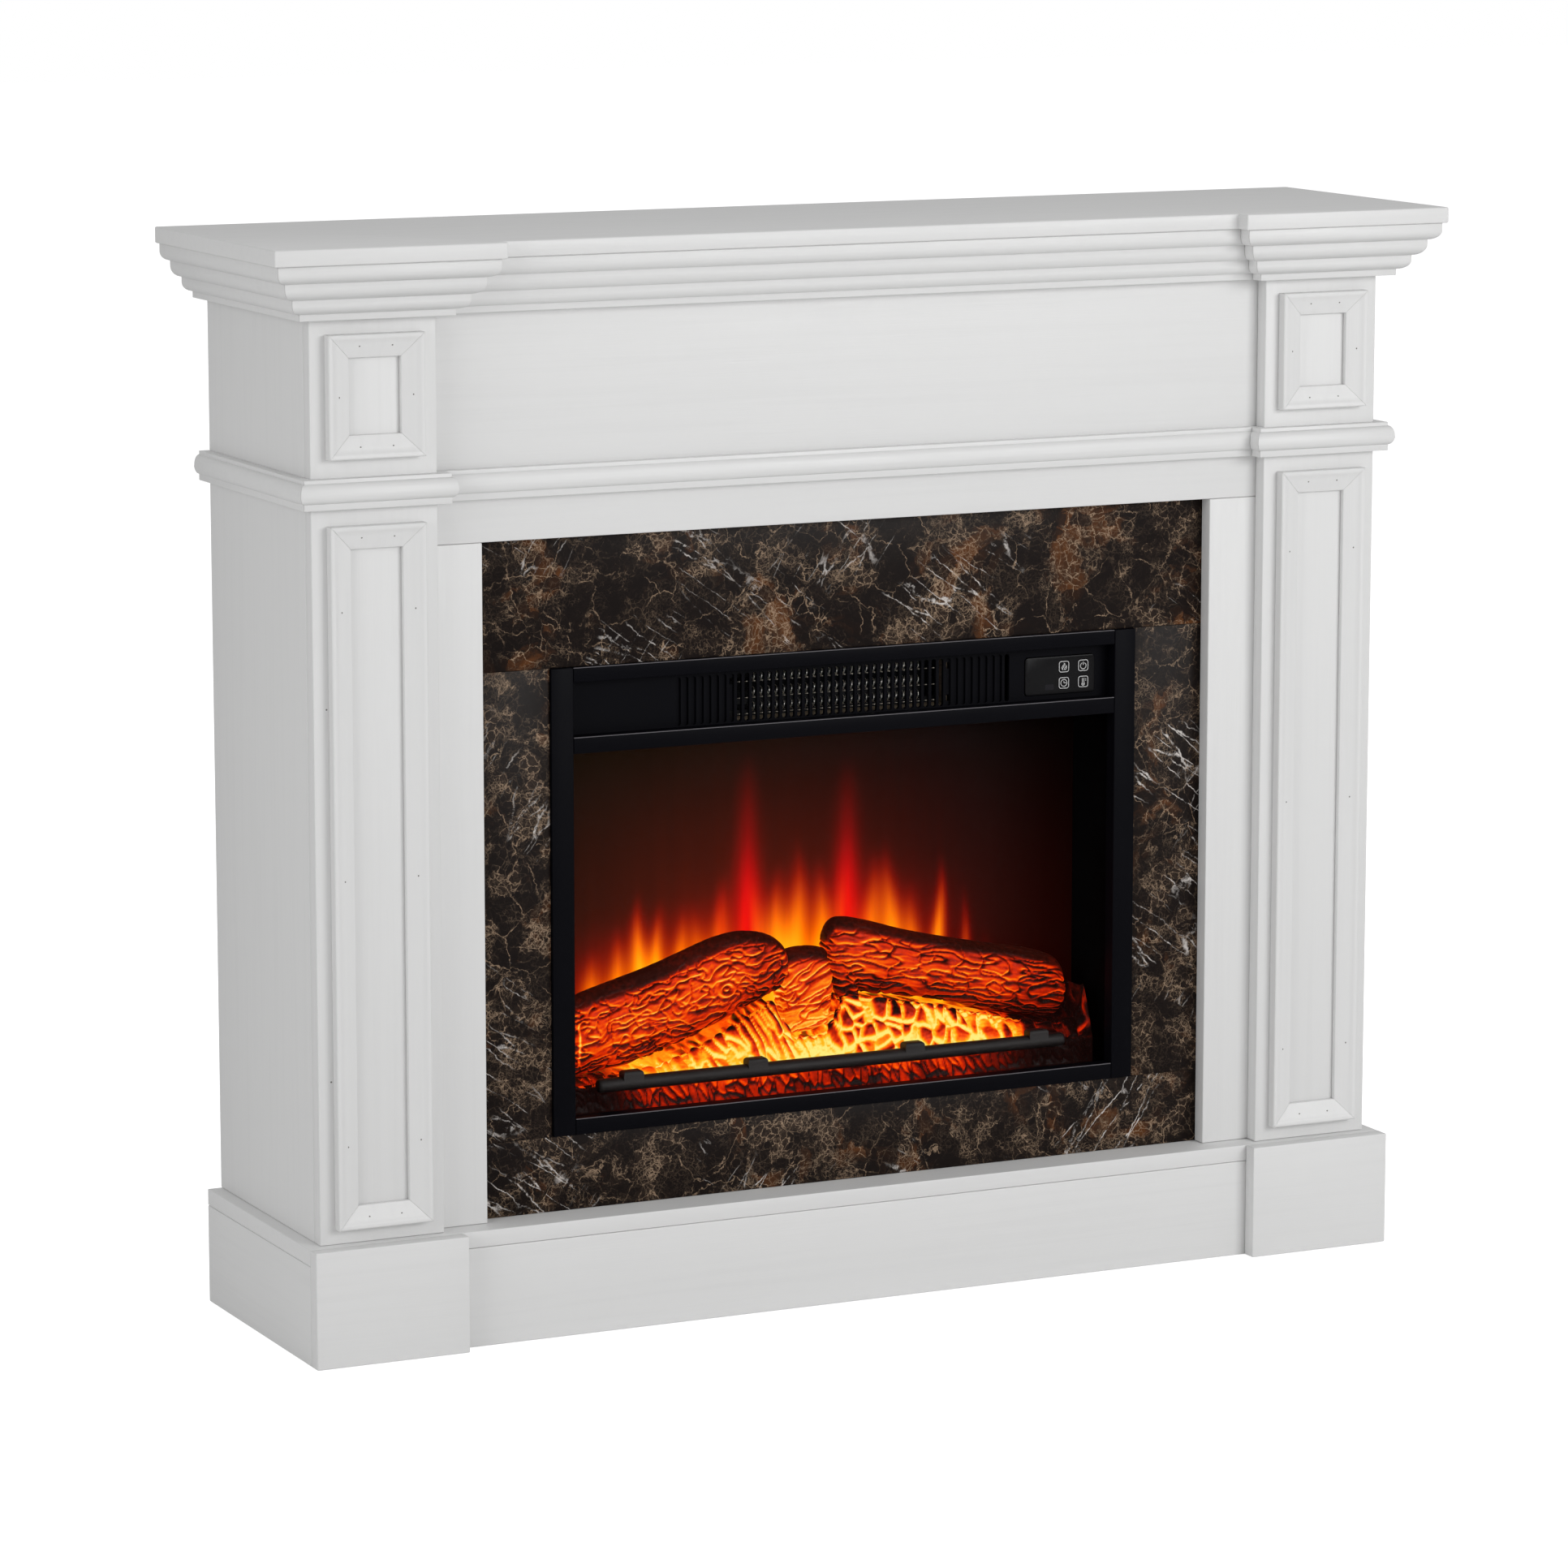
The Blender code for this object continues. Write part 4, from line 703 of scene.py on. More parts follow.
class FIREPLACE_OT_boards(bpy.types.Operator):
    """Make the painted boards of the mantel with rounded edges"""
    bl_idname = "fireplace.boards"
    bl_label = "Boards"

    def execute(self, context):
        settings = context.scene.fireplace_mantel
        for node, grain_axis in BOARDS.items():
            board = add_block(node + "_painted", *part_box(node))
            bevel_edges(board, settings.edge, 3, lambda a, b: True)
            finish(board, white_paint(grain_axis), replaces=[node])
        return {"FINISHED"}


class FIREPLACE_OT_shelf(bpy.types.Operator):
    """Make the top shelf: one board whose ends step forward over the posts"""
    bl_idname = "fireplace.shelf"
    bl_label = "Shelf"

    def execute(self, context):
        settings = context.scene.fireplace_mantel
        overhang = Y_POST - SHELF_LOW.y
        x_step = X_POST_IN - overhang
        y_middle = Y_HEADER - overhang
        shelf = add_block("shelf_painted", (SHELF_LOW.x, y_middle, SHELF_LOW.z), SHELF_HIGH)
        bpy.ops.object.mode_set(mode="EDIT")
        for x in (-x_step, x_step):
            bpy.ops.mesh.select_all(action="SELECT")
            bpy.ops.mesh.bisect(plane_co=(x, 0.0, 0.0), plane_no=(1.0, 0.0, 0.0))
        for side in (-1, 1):
            select_faces(shelf, lambda centre, normal: normal.y < -0.9 and side * centre.x > x_step)
            bpy.ops.mesh.extrude_region_move(
                TRANSFORM_OT_translate={"value": (0.0, SHELF_LOW.y - y_middle, 0.0)})
        bpy.ops.mesh.select_all(action="SELECT")
        bpy.ops.mesh.dissolve_limited(angle_limit=math.radians(1.0))
        bpy.ops.object.mode_set(mode="OBJECT")
        round_edges(shelf, settings.shelf_edge, 3)
        finish(shelf, white_paint(0), replaces=["top_shelf"])
        return {"FINISHED"}


def crown_profile(settings):
    """The crown's section as (y, z), with the wall at y = 0, from the top down."""
    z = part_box("crown_centre")[1].z
    back = -MOULDING_GAP
    points = [(back, z)]
    steps = (settings.crown_1, settings.crown_2, settings.crown_3)
    nexts = (settings.crown_2[0], settings.crown_3[0], settings.crown_foot[0])
    segments = 9
    for (out, fillet, ovolo), next_out in zip(steps, nexts):
        points.append((-out, z))
        z -= fillet
        for i in range(segments + 1):
            angle = 0.5 * math.pi * i / segments
            across = next_out + (out - next_out) * math.cos(angle)
            points.append((-across, z - ovolo * math.sin(angle)))
        z -= ovolo
    points.append((-settings.crown_foot[0], z - settings.crown_foot[1]))
    points.append((back, z - settings.crown_foot[1]))
    return spaced(points)


def rail_profile(settings):
    """The chair rail's section as (y, z), from the bottom up."""
    low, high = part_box("chair_rail_centre")
    foot_out, foot_height = settings.rail_foot
    bulge, height = settings.rail_round
    cap_out = settings.rail_cap[0]
    back = -MOULDING_GAP
    points = [(back, low.z), (-foot_out, low.z)]
    z_middle = low.z + foot_height + height / 2
    segments = 16
    for i in range(segments + 1):
        angle = math.pi * (i / segments - 0.5)
        base = foot_out if angle < 0 else cap_out
        points.append((-base - bulge * math.cos(angle), z_middle + height / 2 * math.sin(angle)))
    points.append((-cap_out, high.z))
    points.append((back, high.z))
    return spaced(points)


def spaced(points):
    """The same outline without points that lie on the one before."""
    kept = []
    for point in points:
        if not kept or math.dist(point, kept[-1]) > 5e-5:
            kept.append(point)
    return kept


OUTER, INNER, SQUARE = 1.0, -1.0, 0.0


def moulding_run(name, profile, start, end, kinds, settings):
    """One straight run of a moulding from corner to corner, with a mitre or a square cut at each end."""
    (xa, ya), (xb, yb) = start, end
    length = math.hypot(xb - xa, yb - ya)
    reach = 0.06
    bar = profile_bar(name, profile, -reach, length + reach)
    first, last = kinds
    slice_off(bar, (settings.seam, 0.0, 0.0), (-1.0, first, 0.0))
    slice_off(bar, (length - settings.seam, 0.0, 0.0), (1.0, last, 0.0))
    round_edges(bar, settings.moulding_edge, 2, 40.0)
    bar.rotation_euler.z = math.atan2(yb - ya, xb - xa)
    bar.location = (xa, ya, 0.0)
    return apply_place(bar)


def wrap_moulding(word, profile, settings):
    """Run a moulding round both posts and across the header, as three pieces."""
    left = [(-X_POST, Y_WALL), (-X_POST, Y_POST), (-X_POST_IN, Y_POST), (-X_POST_IN, Y_HEADER)]
    right = [(-x, y) for x, y in reversed(left)]
    groups = {
        "left": (left, (SQUARE, OUTER, OUTER, INNER)),
        "centre": ([left[-1], right[0]], (INNER, INNER)),
        "right": (right, (INNER, OUTER, OUTER, SQUARE)),
    }
    for side, (corners, kinds) in groups.items():
        runs = []
        for i in range(len(corners) - 1):
            runs.append(moulding_run(word + "_run", profile, corners[i], corners[i + 1], kinds[i:i + 2],
                                     settings))
        piece = join(runs, f"{word}_{side}_painted")
        finish(piece, white_paint(0), replaces=[f"{word}_{side}"])


class FIREPLACE_OT_crown(bpy.types.Operator):
    """Run the stepped crown moulding round the posts and across the header"""
    bl_idname = "fireplace.crown"
    bl_label = "Crown moulding"

    def execute(self, context):
        settings = context.scene.fireplace_mantel
        wrap_moulding("crown", crown_profile(settings), settings)
        return {"FINISHED"}


class FIREPLACE_OT_chair_rail(bpy.types.Operator):
    """Run the rounded chair rail round the posts and across the header"""
    bl_idname = "fireplace.chair_rail"
    bl_label = "Chair rail"

    def execute(self, context):
        settings = context.scene.fireplace_mantel
        wrap_moulding("chair_rail", rail_profile(settings), settings)
        return {"FINISHED"}


# (inward from the outer edge, proud of the post) of the panel moulding's section
PANEL_SECTION = ((0.0, 0.0003), (0.0, 0.0094), (0.0004, 0.0100), (0.0012, 0.0104), (0.0030, 0.01035),
                 (0.0042, 0.0099), (0.0050, 0.0094), (0.0090, 0.0083), (0.0130, 0.0071), (0.0165, 0.0060),
                 (0.0192, 0.0052), (0.0201, 0.0048), (0.0204, 0.0042), (0.0204, 0.0003))


class FIREPLACE_OT_panel_mouldings(bpy.types.Operator):
    """Frame the four panels of the posts with mitred mouldings"""
    bl_idname = "fireplace.panel_mouldings"
    bl_label = "Panel mouldings"

    def execute(self, context):
        settings = context.scene.fireplace_mantel
        profile = [(-proud, inward) for inward, proud in PANEL_SECTION]
        for _, side in SIDES:
            for level in ("upper", "lower"):
                node = f"panel_frame_{level}_{side}"
                low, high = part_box(node)
                wide, tall = high.x - low.x, high.z - low.z
                members = (((low.x, low.z), wide, 0.0), ((high.x, low.z), tall, -90.0),
                           ((high.x, high.z), wide, 180.0), ((low.x, high.z), tall, 90.0))
                bars = []
                for (x, z), length, turn in members:
                    bar = profile_bar("member", profile, 0.0, length)
                    slice_off(bar, (settings.seam, 0.0, 0.0), (-1.0, 0.0, 1.0))
                    slice_off(bar, (length - settings.seam, 0.0, 0.0), (1.0, 0.0, 1.0))
                    bar.rotation_euler.y = math.radians(turn)
                    bar.location = (x, Y_POST, z)
                    bars.append(apply_place(bar))
                piece = join(bars, node + "_painted")
                finish(piece, white_paint(2), replaces=[node], angle=20.0)
        return {"FINISHED"}


def nail_places():
    """Points on the painted front where a nail was set and filled, with the surface at that point."""
    rail_low, rail_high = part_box("chair_rail_centre")
    z_rail = rail_low.z + 0.5 * (rail_high.z - rail_low.z)
    places = []
    for share in (-0.82, -0.30, 0.28, 0.80):
        places.append((share * X_POST_IN, rail_low.y + 0.0002, z_rail))
    for side, word in SIDES:
        for level, rises in (("upper", (0.5,)), ("lower", (0.12, 0.5, 0.88))):
            low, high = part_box(f"panel_frame_{level}_{word}")
            slope = 0.0102
            y_slope = Y_POST - 0.0079
            for rise in rises:
                z = low.z + rise * (high.z - low.z)
                places.append((low.x + slope, y_slope, z))
                places.append((high.x - slope, y_slope, z))
            for share in (0.33, 0.67):
                x = low.x + share * (high.x - low.x)
                places.append((x, y_slope, low.z + slope))
                places.append((x, y_slope, high.z - slope))
        for z in (0.60, 0.26):
            places.append((side * (X_POST - 0.012), Y_POST, z * POST_HIGH.z))
    return places


class FIREPLACE_OT_nails(bpy.types.Operator):
    """Set the filled nail holes of the mouldings"""
    bl_idname = "fireplace.nails"
    bl_label = "Nail holes"

    def execute(self, context):
        settings = context.scene.fireplace_mantel
        plug = add_shape("nail_plug", bpy.ops.mesh.primitive_cylinder_add, vertices=12,
                         radius=settings.nail, depth=0.0012, rotation=(math.pi / 2, 0.0, 0.0))
        bevel_edges(plug, 0.00015, 1, lambda a, b: max(a.y, b.y) < 0.0)
        copies = []
        for x, y, z in nail_places():
            copies.append(copy_of(plug, (x, y + 0.00045, z)))
        bpy.data.objects.remove(plug, do_unlink=True)
        finish(join(copies, "nail_holes"), nail_filler())
        return {"FINISHED"}


# ---- marble --------------------------------------------------------------------------------------
# where each slab was cut from the stone, so that no two slabs have the same veins
SLAB_OFFSETS = {"top": (0.0, 0.0, 0.0), "bottom": (0.9, 0.0, 0.43), "left": (1.7, 0.0, 0.8),
                "right": (2.6, 0.0, 1.3)}


class FIREPLACE_OT_marble(bpy.types.Operator):
    """Set the four marble slabs round the insert"""
    bl_idname = "fireplace.marble"
    bl_label = "Marble"

    def execute(self, context):
        settings = context.scene.fireplace_marble
        for word, offset in SLAB_OFFSETS.items():
            node = "marble_" + word
            slab = add_block(node + "_polished", *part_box(node))
            bevel_edges(slab, settings.edge, 2, lambda a, b: True)
            finish(slab, dark_marble(node, offset), replaces=[node])
        return {"FINISHED"}


# ---- insert --------------------------------------------------------------------------------------
def powder_coat():
    settings = bpy.context.scene.fireplace_insert
    return speckled("powder_coat", settings.metal, 0.38, specular=0.035, scale=1300.0)


def grille_plastic():
    settings = bpy.context.scene.fireplace_insert
    return speckled("grille_plastic", settings.plastic, 0.46, specular=0.035, scale=1600.0)


def paint_edge_highlight(bar, corner, settings):
    """Painted highlight: give a rail's upper front edge a brighter colour, where light from above catches
    it.
    """
    bar.data.materials.append(speckled("painted_edge_highlight", settings.worn, 0.35, specular=0.3, scale=1300.0))
    near = 1.05 * settings.edge
    for face in bar.data.polygons:
        centre = face.center
        slanting = 0.15 < -face.normal.y < 0.97 and face.normal.z > 0.15
        if slanting and centre.y - corner.y < near and corner.z - centre.z < near:
            face.material_index = 1


class FIREPLACE_OT_trim(bpy.types.Operator):
    """Make the insert's pressed trim: two uprights and three rails, open at the back"""
    bl_idname = "fireplace.trim"
    bl_label = "Trim"

    def execute(self, context):
        settings = context.scene.fireplace_insert
        for word in ("left", "right", "top", "middle", "bottom"):
            low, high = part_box("trim_" + word)
            bar = add_block(f"trim_{word}_coated", low, high)
            bevel_edges(bar, settings.edge, 3, lambda a, b: True)
            bpy.ops.object.mode_set(mode="EDIT")
            select_faces(bar, lambda centre, normal: centre.y > high.y - 1.5 * settings.edge)
            bpy.ops.mesh.delete(type="FACE")
            bpy.ops.object.mode_set(mode="OBJECT")
            apply_modifier(bar, "SOLIDIFY", thickness=settings.wall, offset=-1.0)
            finish(bar, powder_coat(), replaces=["trim_" + word])
            if word in {"top", "middle", "bottom"}:
                # painted highlight on the rail's upper front edge
                paint_edge_highlight(bar, Vector((0.0, low.y, high.z)), settings)
        return {"FINISHED"}


# the grille's slots, numbered from the left, as (first, count, open to the back)
SLOT_ROWS = ((8, 28, True), (44, 1, True), (0, 8, False), (36, 8, False))
MIDDLE_SLOT = 21.5
NOTCHED_SLOTS = (7, 36)
NOTCH_HEIGHT = 0.006


def x_of_slot(number, settings):
    return X_HEATER + (number - MIDDLE_SLOT) * settings.slot_pitch


def slot_cutter(settings, first, count, y_stop, y_start):
    """Cutter for a row of slots with round ends, from slot number `first` on."""
    x_first = x_of_slot(first, settings)
    z_low = Z_BAY + settings.slot_rise
    half = settings.slot_width / 2
    cutter = add_block("slot_cutter", (x_first - half, y_start, z_low),
                       (x_first + half, y_stop, z_low + settings.slot_height))
    bevel_edges(cutter, 0.98 * half, 5, along(1))
    if count > 1:
        apply_modifier(cutter, "ARRAY", count=count, use_relative_offset=False, use_constant_offset=True,
                       constant_offset_displace=(settings.slot_pitch, 0.0, 0.0), merge_threshold=0.00001)
    return cutter


def rounded_plate(name, low, high, corner, segments=5):
    """A plate facing -Y with rounded corners."""
    plate = add_block(name, low, high)
    bevel_edges(plate, corner, segments, along(1))
    return plate


class FIREPLACE_OT_grille(bpy.types.Operator):
    """Make the slotted front of the heater bay, with the opening for the control panel"""
    bl_idname = "fireplace.grille"
    bl_label = "Grille"

    def execute(self, context):
        settings = context.scene.fireplace_insert
        low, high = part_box("vent_panel")
        plate = add_block("grille_moulded", low, high)
        y_start = low.y - OVERCUT
        y_through = high.y + OVERCUT
        for first, count, is_open in SLOT_ROWS:
            y_stop = y_through if is_open else low.y + settings.slot_depth
            cut_away(plate, slot_cutter(settings, first, count, y_stop, y_start))
        half = settings.slot_width / 2
        for number in NOTCHED_SLOTS:
            x = x_of_slot(number, settings)
            for rise in (0.004, settings.slot_height - 0.010):
                z = Z_BAY + settings.slot_rise + rise
                cut_away(plate, add_block("notch", (x - 0.9 * half, y_start, z),
                                          (x + 0.9 * half, y_through, z + NOTCH_HEIGHT)))
        margin = 0.0005
        panel_low, panel_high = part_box("control_panel")
        cut_away(plate, rounded_plate("window", (panel_low.x - margin, y_start, panel_low.z - margin),
                                      (panel_high.x + margin, y_through, panel_high.z + margin),
                                      context.scene.fireplace_controls.corner + margin))
        finish(plate, grille_plastic(), replaces=["vent_panel"], angle=25.0)
        return {"FINISHED"}


def tube_along(name, points, radius, closed=False, sides=2):
    """A round wire through points, as a mesh."""
    curve = bpy.data.curves.new(name, "CURVE")
    curve.dimensions = "3D"
    curve.bevel_depth = radius
    curve.bevel_resolution = sides
    curve.use_fill_caps = not closed
    spline = curve.splines.new("POLY")
    spline.points.add(len(points) - 1)
    for place, point in zip(spline.points, points):
        place.co = (*point, 1.0)
    spline.use_cyclic_u = closed
    obj = bpy.data.objects.new(name, curve)
    bpy.context.scene.collection.objects.link(obj)
    make_active(obj)
    bpy.ops.object.convert(target="MESH")
    return take_name(name)


COIL_TURNS = 46
TURN_STEPS = 14
GUARD_RISES = (0.0205, 0.0105, -0.0045, -0.0190)  # of the guard wires, from the element's middle


class FIREPLACE_OT_heater(bpy.types.Operator):
    """Wind the heating coil's rows and set the guard wires in front of them"""
    bl_idname = "fireplace.heater"
    bl_label = "Heater"

    def execute(self, context):
        settings = context.scene.fireplace_heater
        slots = context.scene.fireplace_insert
        centre_y = (HEATER_LOW.y + HEATER_HIGH.y) / 2
        centre_z = (HEATER_LOW.z + HEATER_HIGH.z) / 2
        pitch = slots.slot_pitch / 2
        half = COIL_TURNS * pitch / 2
        pieces = []
        for row in range(settings.rows):
            z_row = centre_z + ((settings.rows - 1) / 2 - row) * settings.row_pitch
            points = []
            for i in range(COIL_TURNS * TURN_STEPS + 1):
                angle = 2 * math.pi * i / TURN_STEPS
                points.append((X_HEATER - half + pitch * i / TURN_STEPS,
                               centre_y - settings.coil_radius * math.cos(angle),
                               z_row + settings.coil_radius * math.sin(angle)))
            pieces.append(tube_along("coil_row", points, settings.wire, sides=1))
        coil = join(pieces, "heater_coil_wound")
        material = brushed("nichrome", settings.colour, 0.28)
        finish(coil, material, replaces=["heater_coil"], angle=80.0)
        wires = []
        reach = 13.4 * slots.slot_pitch
        y_guard = HEATER_LOW.y + 0.0015
        for rise in GUARD_RISES:
            line = [(X_HEATER + across, y_guard, centre_z + rise) for across in (-reach, 0.0, reach)]
            wires.append(tube_along("guard", line, settings.guard))
        guard = join(wires, "heater_guard_wires")
        finish(guard, brushed("guard_wire", (0.42, 0.38, 0.32), 0.4), angle=80.0)
        return {"FINISHED"}


# ---- controls ------------------------------------------------------------------------------------
def ring_line(centre, radius, start, stop, steps=28):
    """Points of an arc in the panel's plane, in degrees, as (x, z)."""
    points = []
    for i in range(steps + 1):
        angle = math.radians(start + (stop - start) * i / steps)
        points.append((centre[0] + radius * math.cos(angle), centre[1] + radius * math.sin(angle)))
    return points


def rounded_line(half, corner):
    """A closed rounded square about the origin."""
    steps = 6
    points = []
    for a, b, start in ((1, 1, 0), (-1, 1, 90), (-1, -1, 180), (1, -1, 270)):
        centre = (a * (half - corner), b * (half - corner))
        points += ring_line(centre, corner, start, start + 90, steps)
    return points


def symbol_lines(key):
    """The strokes of a key's symbol as (points, closed), in metres about the key's middle."""
    if key == "power":
        return [(ring_line((0.0, -0.0004), 0.0029, 115.0, 425.0), False),
                ([(0.0, 0.0004), (0.0, 0.0033)], False)]
    if key == "timer":
        return [(ring_line((0.0, 0.0), 0.0032, 0.0, 360.0)[:-1], True),
                ([(0.0, 0.0019), (0.0, 0.0), (0.0022, 0.0)], False)]
    if key == "temperature":
        return [(ring_line((0.0, -0.0022), 0.0014, 125.0, 415.0, 20), False),
                ([(-0.0008, -0.0010), (-0.0008, 0.0032)], False),
                ([(0.0008, -0.0010), (0.0008, 0.0032)], False),
                ([(0.0021, 0.0010), (0.0030, 0.0010)], False),
                ([(0.0021, 0.0024), (0.0030, 0.0024)], False),
                (ring_line((0.0, -0.0022), 0.0004, 0.0, 360.0, 10)[:-1], True)]
    tongue = [(-0.0002, 0.0035), (0.0004, 0.0024), (-0.0010, 0.0010), (-0.0022, -0.0006),
              (-0.0021, -0.0022), (-0.0008, -0.0033), (-0.0014, -0.0018), (-0.0004, -0.0002),
              (0.0008, 0.0012), (0.0010, 0.0026)]
    small = [(0.0022, 0.0010), (0.0018, -0.0004), (0.0006, -0.0016), (0.0004, -0.0030), (0.0018, -0.0028),
             (0.0026, -0.0014), (0.0027, 0.0000)]
    return [(tongue, True), (small, True)]


def printed(name, lines, centre, y_face, settings):
    """Flat printed strokes on a face that looks towards -Y."""
    strokes = []
    for points, closed in lines:
        route = [(centre[0] + x, 0.0, centre[1] + z) for x, z in points]
        strokes.append(tube_along("stroke", route, settings.line, closed, 1))
    piece = join(strokes, name)
    co = positions(piece)
    flat = 1.0 / settings.line * settings.ink_height
    co[:, 1] = y_face - settings.ink_height * 0.5 + co[:, 1] * flat
    set_positions(piece, co)
    return piece


class FIREPLACE_OT_controls(bpy.types.Operator):
    """Make the control panel, its window, and the four keys with their printed symbols"""
    bl_idname = "fireplace.controls"
    bl_label = "Controls"

    def execute(self, context):
        settings = context.scene.fireplace_controls
        gloss = speckled("gloss_panel", settings.gloss, 0.22, specular=0.10, scale=240.0, bump=0.00001)
        ink = speckled("key_ink", settings.print_ink, 0.45, scale=2400.0, bump=0.00001)
        low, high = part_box("control_panel")
        panel = rounded_plate("control_panel_gloss", low, high, settings.corner, 6)
        bevel_edges(panel, settings.rim, 3, lambda a, b: max(a.y, b.y) < low.y + 1e-5)
        margin = 0.00035
        for key in KEYS:
            key_low, key_high = key_face(key)
            hole = rounded_plate("key_hole", (key_low.x - margin, low.y - OVERCUT, key_low.z - margin),
                                 (key_high.x + margin, high.y + OVERCUT, key_high.z + margin),
                                 settings.key_corner + margin)
            cut_away(panel, hole)
        finish(panel, gloss, replaces=["control_panel"], angle=25.0)
        x_eye, z_eye = low.x + 0.0250, low.z + 0.0068
        wide, tall, proud, sunk = 0.0045, 0.0026, 0.0001, 0.0006
        eye = rounded_plate("receiver_window", (x_eye - wide, low.y - proud, z_eye - tall),
                            (x_eye + wide, low.y + sunk, z_eye + tall), 0.0004, 2)
        tint = speckled("receiver_tint", (0.022, 0.021, 0.024), 0.3, specular=0.02, scale=500.0,
                        bump=0.00001)
        finish(eye, tint)
        for key in KEYS:
            self.make_key(key, gloss, ink, settings)
        return {"FINISHED"}

    def make_key(self, key, gloss, ink, settings):
        body = "key_" + key
        face_low, face_high = key_face(key)
        flange_low, flange_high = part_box(body)
        flange_front = flange_high.y - 0.0010
        cap = rounded_plate(body + "_cap", face_low, (face_high.x, flange_front + 0.0002, face_high.z),
                            settings.key_corner)
        bevel_edges(cap, 0.00025, 2, lambda a, b: max(a.y, b.y) < face_low.y + 1e-5)
        flange = rounded_plate("flange", (flange_low.x, flange_front, flange_low.z), flange_high,
                               settings.key_corner)
        finish(join([cap, flange], body + "_moulded"), gloss, body, [body])
        centre = ((face_low.x + face_high.x) / 2, (face_low.z + face_high.z) / 2)
        half = (face_high.x - face_low.x) / 2 - 0.9 * settings.line - 0.00025
        lines = [(rounded_line(half, settings.key_corner - 0.0004), True)] + symbol_lines(key)
        marks = printed(body + "_symbol", lines, centre, face_low.y, settings)
        finish(marks, ink, body, angle=60.0)


def key_face(key):
    """The box of a key's cap, without the flange behind the panel."""
    low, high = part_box("key_" + key)
    flange = 0.0008
    inset = Vector((flange, 0.0, flange))
    return low + inset, high - inset


# ---- fire ----------------------------------------------------------------------------------------
class FIREPLACE_OT_glass(bpy.types.Operator):
    """Make the front pane with its ground edges"""
    bl_idname = "fireplace.glass"
    bl_label = "Glass"

    def execute(self, context):
        pane = add_block("glass_pane", *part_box("glass_front"))
        bevel_edges(pane, 0.0004, 2, lambda a, b: True)
        finish(pane, clear_glass(), replaces=["glass_front"])
        pane.visible_shadow = False
        return {"FINISHED"}


# flames on the screen: (x, top above the case floor, half width at the foot, strength, lean)
FLAMES = ((-0.240, 0.100, 0.017, 0.55, 0.004), (-0.210, 0.140, 0.015, 0.85, 0.003),
          (-0.184, 0.160, 0.012, 0.75, -0.002), (-0.164, 0.195, 0.011, 1.00, 0.003),
          (-0.144, 0.182, 0.010, 1.00, 0.002), (-0.124, 0.176, 0.011, 0.85, 0.004),
          (-0.103, 0.178, 0.014, 0.66, -0.002), (-0.080, 0.205, 0.014, 0.66, 0.003),
          (-0.048, 0.240, 0.014, 0.60, 0.000), (-0.022, 0.212, 0.016, 0.85, 0.002),
          (0.000, 0.238, 0.015, 0.78, -0.002), (0.021, 0.215, 0.013, 0.85, 0.002),
          (0.048, 0.250, 0.013, 0.55, 0.000), (0.073, 0.222, 0.014, 0.72, 0.002),
          (0.098, 0.228, 0.014, 0.80, -0.007), (0.121, 0.180, 0.013, 0.72, -0.004),
          (0.146, 0.205, 0.0085, 0.95, 0.000), (0.171, 0.172, 0.007, 0.55, 0.001),
          (0.196, 0.130, 0.010, 0.22, 0.000))
# the screen's two red flames, each with a small one beside it: (x, top, half width, strength)
RED_FLAMES = ((-0.052, 0.310, 0.0145, 1.0), (-0.079, 0.200, 0.0075, 0.8), (0.050, 0.300, 0.0150, 1.0),
              (0.070, 0.180, 0.0075, 0.7))


def flame_light(x, z):
    """The light of the flames at a point of the screen, as (red, green, blue) for arrays x and z."""
    base = 0.030
    heat = np.zeros_like(x)
    for centre, top, half, strength, lean in FLAMES:
        rise = np.clip((z - base) / (top - base), 0.0, 1.0)
        middle = centre + lean * rise + 0.0022 * np.sin(42.0 * z + 90.0 * centre)
        width = half * (1.18 - 0.74 * rise)
        body = np.exp(-np.abs((x - middle) / width) ** 1.7)
        heat = heat + strength * body * smooth_step(1.06, 0.22, rise)
    veil = np.exp(-((x - 0.01) / 0.150) ** 4)
    heat += 0.30 * veil * smooth_step(0.225, 0.10, z)
    heat += 0.34 * np.exp(-((x + 0.17) / 0.075) ** 2) * smooth_step(0.19, 0.08, z)
    red = np.zeros_like(x)
    for centre, top, half, strength in RED_FLAMES:
        rise = np.clip((z - base) / (top - base), 0.0, 1.0)
        width = half * (1.0 - 0.45 * rise)
        red += strength * np.exp(-np.abs((x - centre) / width) ** 1.7) * smooth_step(1.02, 0.36, rise)
    heat = np.clip(heat, 0.0, 1.25)
    dusk = 0.0055 * smooth_step(0.22, -0.20, x)
    out = np.zeros((len(x), 3))
    out[:, 0] = 1.35 * smooth_step(0.0, 0.90, heat)
    out[:, 1] = 0.58 * smooth_step(0.08, 1.18, heat) ** 1.6
    out[:, 2] = 0.012 * smooth_step(0.7, 1.25, heat)
    haze = np.exp(-((x + 0.03) / 0.19) ** 2) * smooth_step(0.36, 0.06, z)
    out[:, 0] += 0.125 * haze + 0.95 * dusk
    out[:, 1] += 0.0050 * haze + 0.56 * dusk
    out[:, 2] += 0.0003 * haze + 0.14 * dusk
    mix = np.clip(red, 0.0, 1.0) * smooth_step(0.075, 0.14, z)
    out[:, 0] = out[:, 0] * (1 - mix) + (0.50 + 0.55 * smooth_step(0.24, 0.15, z)) * mix
    out[:, 1] = out[:, 1] * (1 - 0.98 * mix)
    out[:, 2] = out[:, 2] * (1 - mix) + 0.002 * mix
    return out


